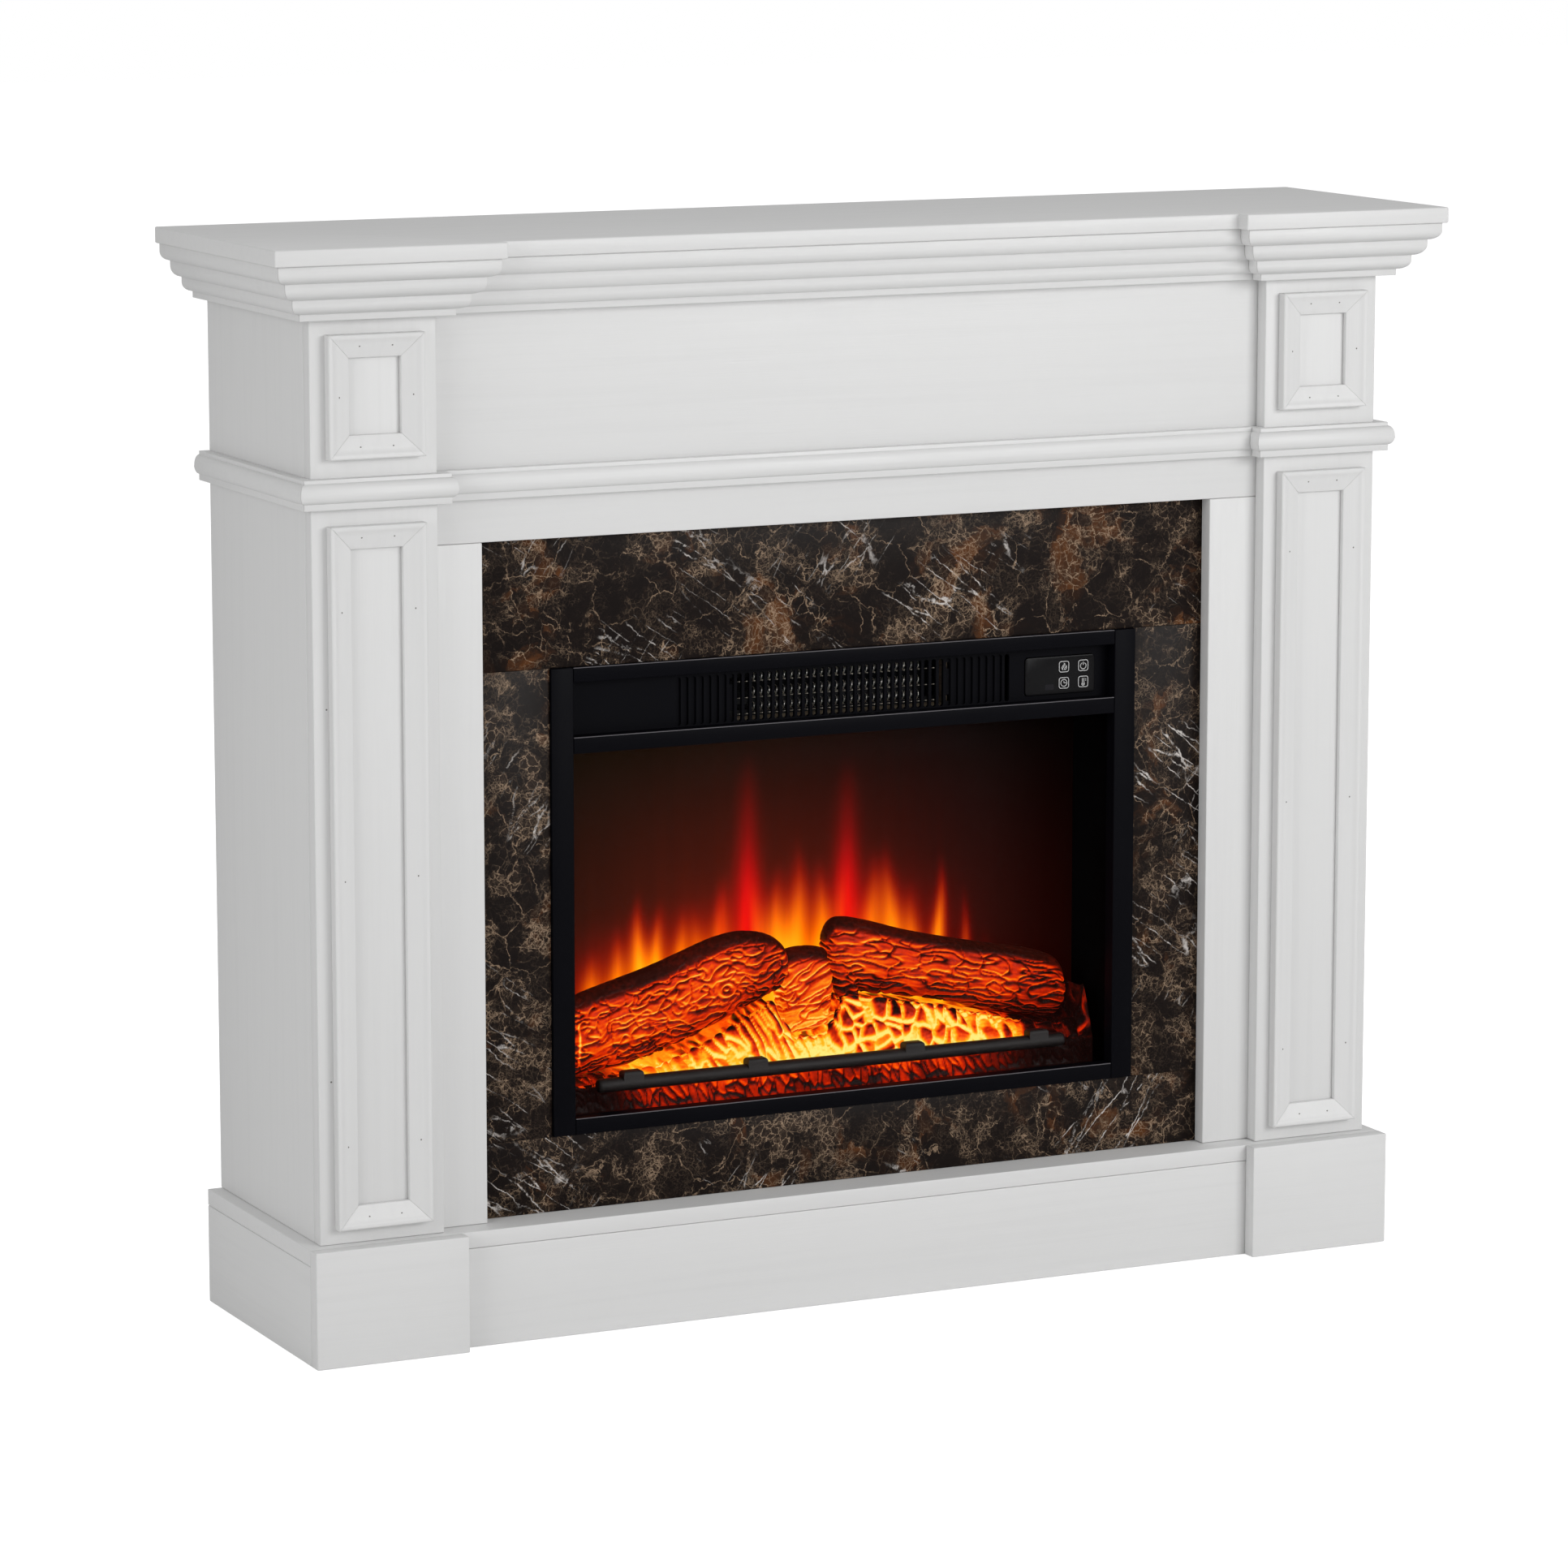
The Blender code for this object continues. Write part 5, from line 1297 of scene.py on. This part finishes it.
class FIREPLACE_OT_flames(bpy.types.Operator):
    """Make the screen behind the logs and keep the flames' light on its mesh"""
    bl_idname = "fireplace.flames"
    bl_label = "Flame screen"

    def execute(self, context):
        settings = context.scene.fireplace_fire
        low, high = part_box("flame_screen")
        screen = add_block("flame_screen_film", low, high)
        bpy.ops.object.mode_set(mode="EDIT")
        select_faces(screen, lambda centre, normal: normal.y < -0.9)
        bpy.ops.mesh.subdivide(number_cuts=settings.flame_cells)
        select_faces(screen, lambda centre, normal: normal.y < -0.9)
        bpy.ops.mesh.subdivide(number_cuts=1)
        bpy.ops.object.mode_set(mode="OBJECT")
        co = positions(screen)
        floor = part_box("insert_case")[0].z + CASE_SHEET
        light = flame_light(co[:, 0], co[:, 2] - floor)
        light[co[:, 1] > (low.y + high.y) / 2] = 0.0
        attribute = screen.data.attributes.new("flame_light", "FLOAT_COLOR", "POINT")
        attribute.data.foreach_set("color", np.c_[light, np.ones(len(light))].astype(np.float32).ravel())
        finish(screen, flame_film(), replaces=["flame_screen"])
        return {"FINISHED"}


LOG_STOPS = [(0.00, (0.004, 0.0011, 0.0008)), (0.14, (0.020, 0.0026, 0.0014)),
             (0.27, (0.12, 0.0048, 0.0010)), (0.41, (0.44, 0.0120, 0.0008)),
             (0.55, (0.84, 0.034, 0.0010)), (0.69, (1.0, 0.11, 0.002)),
             (0.83, (1.1, 0.34, 0.010)), (1.00, (1.1, 0.72, 0.10))]
EMBER_STOPS = [(0.00, (0.004, 0.0012, 0.0010)), (0.13, (0.030, 0.0024, 0.0012)),
               (0.27, (0.20, 0.0060, 0.0010)), (0.42, (0.64, 0.019, 0.0010)),
               (0.56, (1.05, 0.074, 0.0015)), (0.70, (1.1, 0.25, 0.004)),
               (0.86, (1.1, 0.56, 0.016)), (1.00, (1.1, 0.92, 0.22))]


def rings_of(node):
    """The rings of a lofted node, in order: x, middle y, middle z, half depth and half height."""
    rings = {}
    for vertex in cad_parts[node].data.vertices:
        rings.setdefault(round(vertex.co.x, 4), []).append(vertex.co)
    found = []
    for x in sorted(rings):
        ys = [point.y for point in rings[x]]
        zs = [point.z for point in rings[x]]
        found.append((x, (min(ys) + max(ys)) / 2, (min(zs) + max(zs)) / 2, (max(ys) - min(ys)) / 2,
                      (max(zs) - min(zs)) / 2))
    return found


def loft(name, rings):
    """Extrude a disc from ring to ring along X, moving and scaling it as each ring asks."""
    x, y, z, depth, height = rings[0]
    obj = add_shape(name, bpy.ops.mesh.primitive_circle_add, vertices=16, radius=1.0, fill_type="NGON",
                    rotation=(0.0, math.pi / 2, 0.0))
    obj.scale = (1.0, depth, height)
    obj.location = (x, y, z)
    apply_place(obj)
    bpy.ops.object.mode_set(mode="EDIT")
    bpy.ops.mesh.select_mode(type="FACE")
    bpy.ops.mesh.select_all(action="SELECT")
    for (xa, ya, za, da, ha), (xb, yb, zb, db, hb) in zip(rings, rings[1:]):
        move = (xb - xa, yb - ya, zb - za)
        bpy.ops.mesh.extrude_region_move(TRANSFORM_OT_translate={"value": move})
        bpy.ops.transform.resize(value=(1.0, db / da, hb / ha), center_override=(xb, yb, zb))
    bpy.ops.mesh.select_all(action="SELECT")
    bpy.ops.mesh.normals_make_consistent(inside=False)
    bpy.ops.object.mode_set(mode="OBJECT")
    return obj


def bark_at(u, v, w, seed, stretch):
    """Height of the bark, 0 in a furrow to 1 on a ridge, at (along, up, deep) metres."""
    point = Vector((u + seed, v, w))
    broad = noise.noise_vector(point * 34.0)
    close = noise.noise_vector(point * 120.0)
    u += 0.0085 * broad.x + 0.0020 * close.x
    v += 0.0050 * broad.y + 0.0013 * close.y
    first = abs(noise.noise(Vector((u * 42.0 / stretch, v * 135.0, w * 25.0 + seed))))
    second = abs(noise.noise(Vector((u * 74.0 / stretch, v * 92.0, w * 25.0 - seed))))
    gap = min(first, 1.5 * second) / 0.26
    ridge = 1.0 - (1.0 - min(gap, 1.0)) ** 2
    swell = noise.noise(Vector((u * 50.0, v * 110.0, seed)))
    fibre = noise.noise(Vector((u * 130.0 / stretch, v * 400.0, w * 200.0 + seed)))
    return 0.80 * ridge + 0.34 * swell + 0.18 * fibre


def carve_log(log, rings, seed, stretch, knot, slope, settings):
    """Cut the bark into a log, and give back what its glow is worked out from."""
    co = positions(log)
    facing = normals(log)
    xs = np.array([ring[0] for ring in rings])
    middle = np.interp(co[:, 0], xs, [ring[2] for ring in rings])
    half = np.interp(co[:, 0], xs, [ring[4] for ring in rings])
    height = (co[:, 2] - middle) / half
    run = (math.cos(slope), math.sin(slope))
    along_log = co[:, 0] * run[0] + co[:, 2] * run[1]
    up_log = co[:, 2] * run[0] - co[:, 0] * run[1]
    bark = np.array([bark_at(u, v, w, seed, stretch) for u, v, w in zip(along_log, up_log, co[:, 1])])
    if knot:
        away = np.hypot((co[:, 0] - knot[0]) * 0.85, co[:, 2] - knot[1])
        rings_up = 0.5 + 0.5 * np.cos((away + 0.0007 * bark) * 2 * math.pi / 0.0064)
        blend = np.exp(-(away / 0.0105) ** 4)
        bark = bark * (1 - blend) + rings_up * blend
    bare = smooth_step(0.60, 0.80, height + 0.06 * bark)
    depth = settings.bark * (1.0 - 0.9 * bare)
    moved = co + facing * (depth * (bark - 0.8))[:, None]
    set_positions(log, moved)
    tilt = normals(log)[:, 2] - facing[:, 2]
    return co, height, bark, bare, tilt


def log_glow(co, height, bark, bare, tilt, level, low_level, fade):
    """How brightly each point of a log glows, 0 to 1."""
    drift = np.array([noise.noise(Vector(point) * 26.0) for point in co])
    base = level - (level - low_level) * smooth_step(-0.15, -0.95, height) + 0.10 * drift
    # dimmer towards the top of the log: painted shade
    base -= 0.10 * smooth_step(0.15, 0.55, height)
    base *= fade
    # painted shade in the bark's creases; painted light from below on faces turned down
    crease = smooth_step(0.30, 0.0, bark)
    glow = base + 0.05 * (np.clip(bark, 0.0, 1.0) - 0.6) - 0.24 * crease - 0.55 * np.clip(tilt, -0.9, 0.5)
    # the top band glows only dimly: painted shade on the top of the log
    rim = 0.15 + 0.05 * drift
    return np.clip(glow * (1 - bare) + rim * bare, 0.0, 1.0)


def stub(name, start, end, radii, depth):
    """A short tapered limb between two (x, z) points at a depth."""
    (xa, za), (xb, zb) = start, end
    length = math.hypot(xb - xa, zb - za)
    limb = add_shape(name, bpy.ops.mesh.primitive_cone_add, vertices=20, radius1=radii[0],
                     radius2=radii[1], depth=length, location=((xa + xb) / 2, depth, (za + zb) / 2),
                     rotation=(0.0, math.atan2(xb - xa, zb - za), 0.0))
    bevel_edges(limb, 0.3 * min(radii), 3, lambda a, b: (a - b).length < 0.8 * min(radii))
    return limb


# bark and light of each log: (seed, stretch of the furrows, knot, slope, glow, glow underneath)
LOGS = {
    "left": (3.0, 1.0, (-0.093, 0.279), 0.30, 0.59, 0.43),
    "middle": (11.0, 1.7, None, 0.35, 0.70, 0.84),
    "right": (23.0, 1.8, None, -0.17, 0.55, 0.33),
}
# limbs that stand on a log: (start, end, radii, depth)
LIMBS = {
    "middle": (((-0.034, 0.2390), (0.021, 0.2430), (0.0072, 0.0066), -0.0085),),
    "right": (((0.0185, 0.3020), (0.0310, 0.2440), (0.0080, 0.0068), -0.0020),
              ((0.0290, 0.2960), (0.0400, 0.2480), (0.0062, 0.0048), -0.0060)),
}


class FIREPLACE_OT_logs(bpy.types.Operator):
    """Make the three cast logs with their bark and inner glow"""
    bl_idname = "fireplace.logs"
    bl_label = "Logs"

    def execute(self, context):
        settings = context.scene.fireplace_fire
        resin = glowing("log_cast", LOG_STOPS, (0.013, 0.0032, 0.0018), 0.32)
        for word, (seed, stretch, knot, slope, level, low_level) in LOGS.items():
            rings = rings_of("log_" + word)
            if word == "left":
                rings = [(x + 0.011 * smooth_step(-0.08, -0.04, x), *rest) for x, *rest in rings]
            if word == "middle":
                rings = [(x * 1.12 + 0.006, *rest) for x, *rest in rings]
            log = loft(f"log_{word}_bark", rings)
            bevel_edges(log, 0.004, 2, lambda a, b: abs(a.x - b.x) < 1e-5
                        and (max(a.x, b.x) < rings[0][0] + 1e-4 or min(a.x, b.x) > rings[-1][0] - 1e-4))
            apply_modifier(log, "SUBSURF", levels=2, render_levels=2)
            pieces = [log] + [stub("limb", *limb) for limb in LIMBS.get(word, ())]
            log = join(pieces, f"log_{word}_bark")
            apply_modifier(log, "REMESH", mode="VOXEL", voxel_size=settings.log_grain)
            co, height, bark, bare, tilt = carve_log(log, rings, seed, stretch, knot, slope, settings)
            x = co[:, 0]
            if word == "left":
                fade = 1.0 - 0.22 * smooth_step(-0.085, -0.045, x) - 0.30 * smooth_step(-0.225, -0.25, x)
            elif word == "right":
                fade = 1.0 - 0.12 * smooth_step(0.06, 0.02, x) - 0.45 * smooth_step(0.17, 0.262, x)
            else:
                fade = np.ones_like(x)
            glow = log_glow(co, height, bark, bare, tilt, level, low_level, fade)
            if word == "left":
                for x_line in (-0.2485, -0.2400):
                    line = np.exp(-((x + 0.03 * (co[:, 2] - 0.24) - x_line) / 0.0011) ** 2)
                    within = smooth_step(-0.85, -0.6, height) * smooth_step(0.45, 0.2, height)
                    glow += 0.50 * line * within
            store_glow(log, glow)
            finish(log, resin, replaces=["log_" + word], angle=180.0)
        return {"FINISHED"}


def under_logs(x):
    """Height of the logs' underside along x, where the bed's bank meets them."""
    line = []
    for word in ("left", "middle", "right"):
        for ring in rings_of("log_" + word)[1:-1]:
            line.append((ring[0], ring[2] - ring[4]))
    line.sort()
    xs, zs = zip(*line)
    return np.interp(x, xs, zs) + 0.0005


class FIREPLACE_OT_embers(bpy.types.Operator):
    """Make the ember bed: lumps that glow brightest just over the grate bar"""
    bl_idname = "fireplace.embers"
    bl_label = "Embers"

    def execute(self, context):
        settings = context.scene.fireplace_fire
        low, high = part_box("ember_bed")
        z_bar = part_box("grate_bar")[0].z + 0.0065
        bed = add_shape("ember_bed_lumps", bpy.ops.mesh.primitive_grid_add, size=2.0,
                        x_subdivisions=settings.ember_columns, y_subdivisions=settings.ember_rows)
        grid = positions(bed)
        across = (grid[:, 0] + 1) / 2
        share = (grid[:, 1] + 1) / 2
        x = low.x + across * (high.x - low.x)
        top = np.maximum(under_logs(x), z_bar + 0.004)
        top = np.where(x > 0.262, top + 3.2 * (x - 0.262), top)
        marks = np.array([0.0, 0.20, 0.26, 0.48, 0.76, 0.84, 0.94, 1.0])
        ys = np.array([low.y, low.y, low.y + 0.002, low.y + 0.010, low.y + 0.0195, low.y + 0.027,
                       high.y, high.y])
        y = np.interp(share, marks, ys)
        heights = [np.full_like(x, low.z), np.full_like(x, z_bar - 0.004), np.full_like(x, z_bar + 0.001),
                   z_bar + 0.55 * (top - z_bar), top, top - 0.003, top - 0.003, np.full_like(x, low.z)]
        z = np.zeros_like(x)
        for i in range(len(marks) - 1):
            inside = (share >= marks[i]) & (share <= marks[i + 1])
            t = (share[inside] - marks[i]) / (marks[i + 1] - marks[i])
            z[inside] = heights[i][inside] * (1 - t) + heights[i + 1][inside] * t
        set_positions(bed, np.c_[x, y, z])
        front = np.argmin(np.abs(share - 0.4) + np.abs(across - 0.5))
        facing = normals(bed)
        facing *= -np.sign(facing[front, 1])
        domes, coals = self.lumps(x, y, z, z_bar)
        swell = smooth_step(0.02, 0.08, share) * smooth_step(0.93, 0.86, share)
        swell *= smooth_step(0.0, 0.006, x - low.x) * smooth_step(0.0, 0.006, high.x - x)
        above = smooth_step(z_bar - 0.005, z_bar + 0.003, z)
        depth = settings.lump * (0.5 + 0.5 * above)
        moved = np.c_[x, y, z] + facing * (depth * (domes - 0.9) * swell)[:, None]
        moved[:, 1] = np.clip(moved[:, 1], low.y, high.y)
        set_positions(bed, moved)
        bent = normals(bed)
        bent *= -np.sign(bent[front, 1])
        tilt = bent[:, 2] - facing[:, 2]
        store_glow(bed, self.glow(x, z, z_bar, top, domes, coals, tilt, above))
        self.close(bed, low, high)
        embers = glowing("ember_cast", EMBER_STOPS, (0.007, 0.0025, 0.0020), 0.32, 420.0)
        finish(bed, embers, replaces=["ember_bed"], angle=180.0)
        return {"FINISHED"}

    def lumps(self, x, y, z, z_bar):
        """Height of the pebble-like lumps, 0 to 1, and how burnt out each one is, 0 to 1."""
        domes, coals = [], []
        for px, py, pz in zip(x, y, z):
            point = Vector((px, py, pz))
            bend = noise.noise_vector(point * 48.0)
            lower = pz < z_bar - 0.002
            left = 1.0 if lower else min(max((0.0 - px) / 0.08, 0.0), 1.0)
            across, up = (135.0, 58.0) if lower else (76.0 + 16.0 * left, 78.0 - 22.0 * left)
            u = (px + 0.0056 * bend.x + 0.30 * left * (pz - z_bar)) * across
            v = (pz - 0.6 * py + 0.0056 * bend.y) * up
            distances, points = noise.voronoi(Vector((u, v, 2.0 if lower else 9.0)))
            gap = min(max((distances[1] - distances[0]) / 0.62, 0.0), 1.0)
            domes.append((1.0 - (1.0 - gap) ** 2.2) + 0.07 * noise.noise(point * 320.0))
            coals.append(0.5 + 0.75 * noise.noise(points[0] * 4.3))
        return np.array(domes), np.clip(np.array(coals), 0.0, 1.0)

    def glow(self, x, z, z_bar, top, domes, coals, tilt, above):
        """How brightly each point of the bed glows, 0 to 1."""
        rise = np.clip((z - z_bar) / 0.036, 0.0, 1.2)
        domes = np.clip(domes, 0.0, 1.0)
        ends = smooth_step(-0.222, -0.175, x) * smooth_step(0.238, 0.175, x)
        hot = (1.03 - 0.19 * rise - 0.12 * smooth_step(-0.02, -0.09, x)) * (0.22 + 0.78 * ends)
        burnt = smooth_step(0.48, 0.78, coals) * (0.30 + 0.70 * smooth_step(-0.02, 0.05, x))
        core = smooth_step(0.30, 1.0, domes)
        right = smooth_step(-0.05, 0.01, x)
        upper = hot - (0.24 + 0.12 * right + 0.16 * rise + 0.36 * burnt) * core
        # painted light from below: faces turned down glow brighter
        upper -= 0.52 * np.clip(tilt, -0.7, 0.6)
        # painted shadow: the bank glows less just under the logs
        upper -= 0.34 * smooth_step(0.006, 0.0, top - z) * smooth_step(0.0, 0.5, rise)
        drift = np.array([noise.noise(Vector((px * 34.0, 0.0, pz * 34.0))) for px, pz in zip(x, z)])
        upper += 0.14 * drift
        lower = 0.34 + 0.16 * drift - 0.26 * smooth_step(0.55, 0.0, domes)
        lower -= 0.50 * np.clip(tilt, -0.7, 0.5)
        lower += 0.14 * smooth_step(z_bar - 0.020, z_bar - 0.006, z)
        lower *= smooth_step(-0.232, -0.180, x) * smooth_step(0.225, 0.120, x)
        return np.clip(upper * above + lower * (1 - above), 0.0, 1.0)

    def close(self, bed, low, high):
        """Close the two ends and the bottom of the bed."""
        make_active(bed)
        bpy.ops.object.mode_set(mode="EDIT")
        for x in (low.x, high.x):
            select_edges(bed, lambda a, b: abs(a.x - x) < 1e-6 and abs(b.x - x) < 1e-6)
            bpy.ops.mesh.edge_face_add()
        bpy.ops.mesh.select_all(action="SELECT")
        bpy.ops.mesh.fill_holes(sides=0)
        bpy.ops.object.mode_set(mode="OBJECT")


class FIREPLACE_OT_grate(bpy.types.Operator):
    """Make the grate bar with its round ends and four lugs"""
    bl_idname = "fireplace.grate"
    bl_label = "Grate bar"

    def execute(self, context):
        settings = context.scene.fireplace_fire
        low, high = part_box("grate_bar")
        radius = (high.y - low.y) / 2
        centre_y = low.y + radius
        centre_z = low.z + radius
        bar = add_shape("grate_bar_cast", bpy.ops.mesh.primitive_cylinder_add, vertices=28, radius=radius,
                        depth=high.x - low.x, location=((low.x + high.x) / 2, centre_y, centre_z),
                        rotation=(0.0, math.pi / 2, 0.0))
        bevel_edges(bar, 0.55 * radius, 4, lambda a, b: abs(a.x - b.x) < 1e-6)
        half, deep = 0.0098, 0.92 * radius
        lugs = []
        for x in self.lug_places(centre_z + 1.2 * radius):
            lug = add_block("lug", (x - half, centre_y - deep, centre_z),
                            (x + half, centre_y + deep, high.z))
            bevel_edges(lug, 0.0034, 4, lambda a, b: min(a.z, b.z) > centre_z + 0.001)
            lugs.append(lug)
        for lug in lugs:
            apply_modifier(bar, "BOOLEAN", operation="UNION", solver="EXACT", object=lug)
            bpy.data.objects.remove(lug, do_unlink=True)
        iron = speckled("cast_iron", settings.iron, 0.55, 0.0, 0.35, 420.0, 0.0003)
        finish(bar, iron, replaces=["grate_bar"], angle=40.0)
        return {"FINISHED"}

    def lug_places(self, above):
        """The middles of the lugs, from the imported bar's points over a height."""
        xs = sorted({round(vertex.co.x, 4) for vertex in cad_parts["grate_bar"].data.vertices
                     if vertex.co.z > above})
        return [(first + last) / 2 for first, last in zip(xs[::2], xs[1::2])]


# ---- back and inner works ------------------------------------------------------------------------
class FIREPLACE_OT_fittings(bpy.types.Operator):
    """Set the screws that hold the case and the brackets at the back"""
    bl_idname = "fireplace.fittings"
    bl_label = "Back fittings"

    def execute(self, context):
        settings = context.scene.fireplace_insert
        zinc = brushed("zinc_screws", (0.62, 0.62, 0.64), 0.35, 2)
        head = self.screw_head(settings.screw)
        case_low, case_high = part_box("insert_case")
        copies = []
        for x in (case_low.x + 0.010, case_high.x - 0.010):
            for share in (0.04, 0.36, 0.66, 0.96):
                z = case_low.z + share * (case_high.z - case_low.z)
                copies.append(copy_of(head, (x, case_high.y, z)))
        for side, word in SIDES:
            low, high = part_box("insert_bracket_" + word)
            x = side * (case_high.x + 0.020)
            for share in (0.10, 0.5, 0.90):
                copies.append(copy_of(head, (x, low.y + 0.0015, low.z + share * (high.z - low.z))))
        bpy.data.objects.remove(head, do_unlink=True)
        finish(join(copies, "back_screws"), zinc, angle=35.0)
        return {"FINISHED"}

    def screw_head(self, radius):
        """A pan head with a cross recess, facing +Y."""
        head = add_shape("screw_head", bpy.ops.mesh.primitive_cylinder_add, vertices=20, radius=radius,
                         depth=0.0020, location=(0.0, 0.0010, 0.0), rotation=(math.pi / 2, 0.0, 0.0))
        bevel_edges(head, 0.0011, 3, lambda a, b: min(a.y, b.y) > 0.0015)
        for wide, tall in ((0.55, 0.12), (0.12, 0.55)):
            cut_away(head, add_block("cross", (-wide * radius, 0.0008, -tall * radius),
                                     (wide * radius, 0.0040, tall * radius)))
        return head


class FIREPLACE_OT_inner_works(bpy.types.Operator):
    """Give the case, the blower, the motors and the boards their finishes"""
    bl_idname = "fireplace.inner_works"
    bl_label = "Inner works"

    def execute(self, context):
        settings = context.scene.fireplace_insert
        zinc = galvanised_sheet()
        steel = brushed("motor_casing", (0.30, 0.30, 0.31), 0.42)
        bright = brushed("spun_aluminium", (0.75, 0.75, 0.76), 0.30)
        laminate = circuit_laminate()
        # the blower housing and wheel get near-black finishes, so they stay dark behind the grille's
        # slots
        dull = speckled("near_black_housing", (0.020, 0.020, 0.021), 0.6, 0.0, 0.10, 300.0)
        dark = speckled("near_black_wheel", (0.012, 0.012, 0.013), 0.5, 0.0, 0.15, 500.0)
        finishes = {
            "insert_case": speckled("case_enamel", settings.sheet, 0.5, 0.0, 0.04, 700.0),
            "insert_bracket_left": zinc, "insert_bracket_right": zinc, "blower_housing": dull,
            "blower_wheel": dark, "flame_spindle": bright, "blower_motor": steel, "spindle_motor": steel,
            "control_board": laminate, "led_board": laminate, "heater_frame": mica_board(),
            "cord_gland": grille_plastic(),
        }
        for node, material in finishes.items():
            dress(node, material)
        return {"FINISHED"}


# ---- stage ---------------------------------------------------------------------------------------
# (name, place, size, power in watts)
LIGHTS = (("key_light", (1.9, -4.1, 1.8), (2.4, 1.8), 88.0),
          ("fill_light", (-3.7, -1.5, 1.5), (2.0, 2.0), 33.0),
          ("back_light", (0.4, 1.6, 2.6), (2.4, 1.2), 9.0))
FLOOR_GLOW = 0.75  # of the floor, as the camera sees it
WORLD_LIGHT = 0.44  # of the surroundings; the camera sees them at 1


class FIREPLACE_OT_stage(bpy.types.Operator):
    """Set the pale floor, the soft light and the camera"""
    bl_idname = "fireplace.stage"
    bl_label = "Stage"

    def execute(self, context):
        settings = context.scene.fireplace_stage
        floor = add_shape("studio_floor", bpy.ops.mesh.primitive_plane_add, size=40.0,
                          location=(0.0, 0.0, -0.0005))
        material, tree, shader = start_material("studio_floor", settings.floor, 0.9, specular=0.0)
        cloud = noise_of(tree, object_point(tree), 0.8, 2.0)
        colour_by(tree, shader, cloud, [(0.3, shaded(settings.floor, 0.985)), (0.7, settings.floor)])
        shader.inputs["Emission Color"].default_value = (1.0, 1.0, 1.0, 1.0)
        seen = add_node(tree, "LightPath").outputs["Is Camera Ray"]
        tree.links.new(product(tree, seen, FLOOR_GLOW), shader.inputs["Emission Strength"])
        floor.data.materials.append(material)
        self.make_world()
        for light in LIGHTS:
            self.make_light(*light)
        bpy.ops.object.camera_add(location=settings.camera,
                                  rotation=(math.pi / 2 - settings.dip, 0.0, -settings.heading))
        camera = take_name("camera")
        camera.data.lens = settings.lens
        camera.data.sensor_width = 36.0
        camera.data.clip_end = 60.0
        context.scene.camera = camera
        context.scene.view_settings.view_transform = "Standard"
        return {"FINISHED"}

    def make_light(self, name, place, size, power):
        bpy.ops.object.light_add(type="AREA", location=place)
        light = take_name(name)
        light.data.shape = "RECTANGLE"
        light.data.size, light.data.size_y = size
        light.data.energy = power
        aim = Vector((0.0, 0.0, 0.5)) - Vector(place)
        light.rotation_euler = aim.to_track_quat("-Z", "Y").to_euler()

    def make_world(self):
        """Even white studio light; the background itself is seen as pure white."""
        world = bpy.data.worlds.new("studio")
        world.use_nodes = True
        bpy.context.scene.world = world
        tree = world.node_tree
        background = tree.nodes["Background"]
        seen = add_node(tree, "LightPath").outputs["Is Camera Ray"]
        made = add_node(tree, "Mix", {0: seen, 2: WORLD_LIGHT, 3: 1.0}, data_type="FLOAT")
        tree.links.new(made.outputs[0], background.inputs["Strength"])
        background.inputs["Color"].default_value = (1.0, 1.0, 1.0, 1.0)


# ---- add-on --------------------------------------------------------------------------------------
OPERATORS = (
    FIREPLACE_OT_boards, FIREPLACE_OT_shelf, FIREPLACE_OT_crown, FIREPLACE_OT_chair_rail,
    FIREPLACE_OT_panel_mouldings, FIREPLACE_OT_nails, FIREPLACE_OT_marble, FIREPLACE_OT_trim,
    FIREPLACE_OT_grille, FIREPLACE_OT_heater, FIREPLACE_OT_controls, FIREPLACE_OT_glass,
    FIREPLACE_OT_flames, FIREPLACE_OT_logs, FIREPLACE_OT_embers, FIREPLACE_OT_grate,
    FIREPLACE_OT_fittings, FIREPLACE_OT_inner_works, FIREPLACE_OT_stage,
)


class FIREPLACE_PT_panel(bpy.types.Panel):
    """Lists the fireplace's build steps"""
    bl_idname = "FIREPLACE_PT_panel"
    bl_label = "Electric fireplace"
    bl_space_type = "VIEW_3D"
    bl_region_type = "UI"
    bl_category = "Fireplace"

    def draw(self, context):
        for operator in OPERATORS:
            self.layout.operator(operator.bl_idname)
        for name in SETTINGS:
            box = self.layout.box()
            for prop in getattr(context.scene, name).bl_rna.properties:
                if prop.identifier not in {"rna_type", "name"}:
                    box.prop(getattr(context.scene, name), prop.identifier)


def register():
    noise.seed_set(NOISE_SEED)
    for name, group in SETTINGS.items():
        bpy.utils.register_class(group)
        setattr(bpy.types.Scene, name, PointerProperty(type=group))
    for operator in OPERATORS:
        bpy.utils.register_class(operator)
    bpy.utils.register_class(FIREPLACE_PT_panel)


def unregister():
    bpy.utils.unregister_class(FIREPLACE_PT_panel)
    for operator in reversed(OPERATORS):
        bpy.utils.unregister_class(operator)
    for name, group in reversed(list(SETTINGS.items())):
        delattr(bpy.types.Scene, name)
        bpy.utils.unregister_class(group)


def main():
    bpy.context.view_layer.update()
    register()
    for operator in OPERATORS:
        getattr(bpy.ops.fireplace, operator.bl_idname.split(".")[1])()


if __name__ == "__main__":
    main()
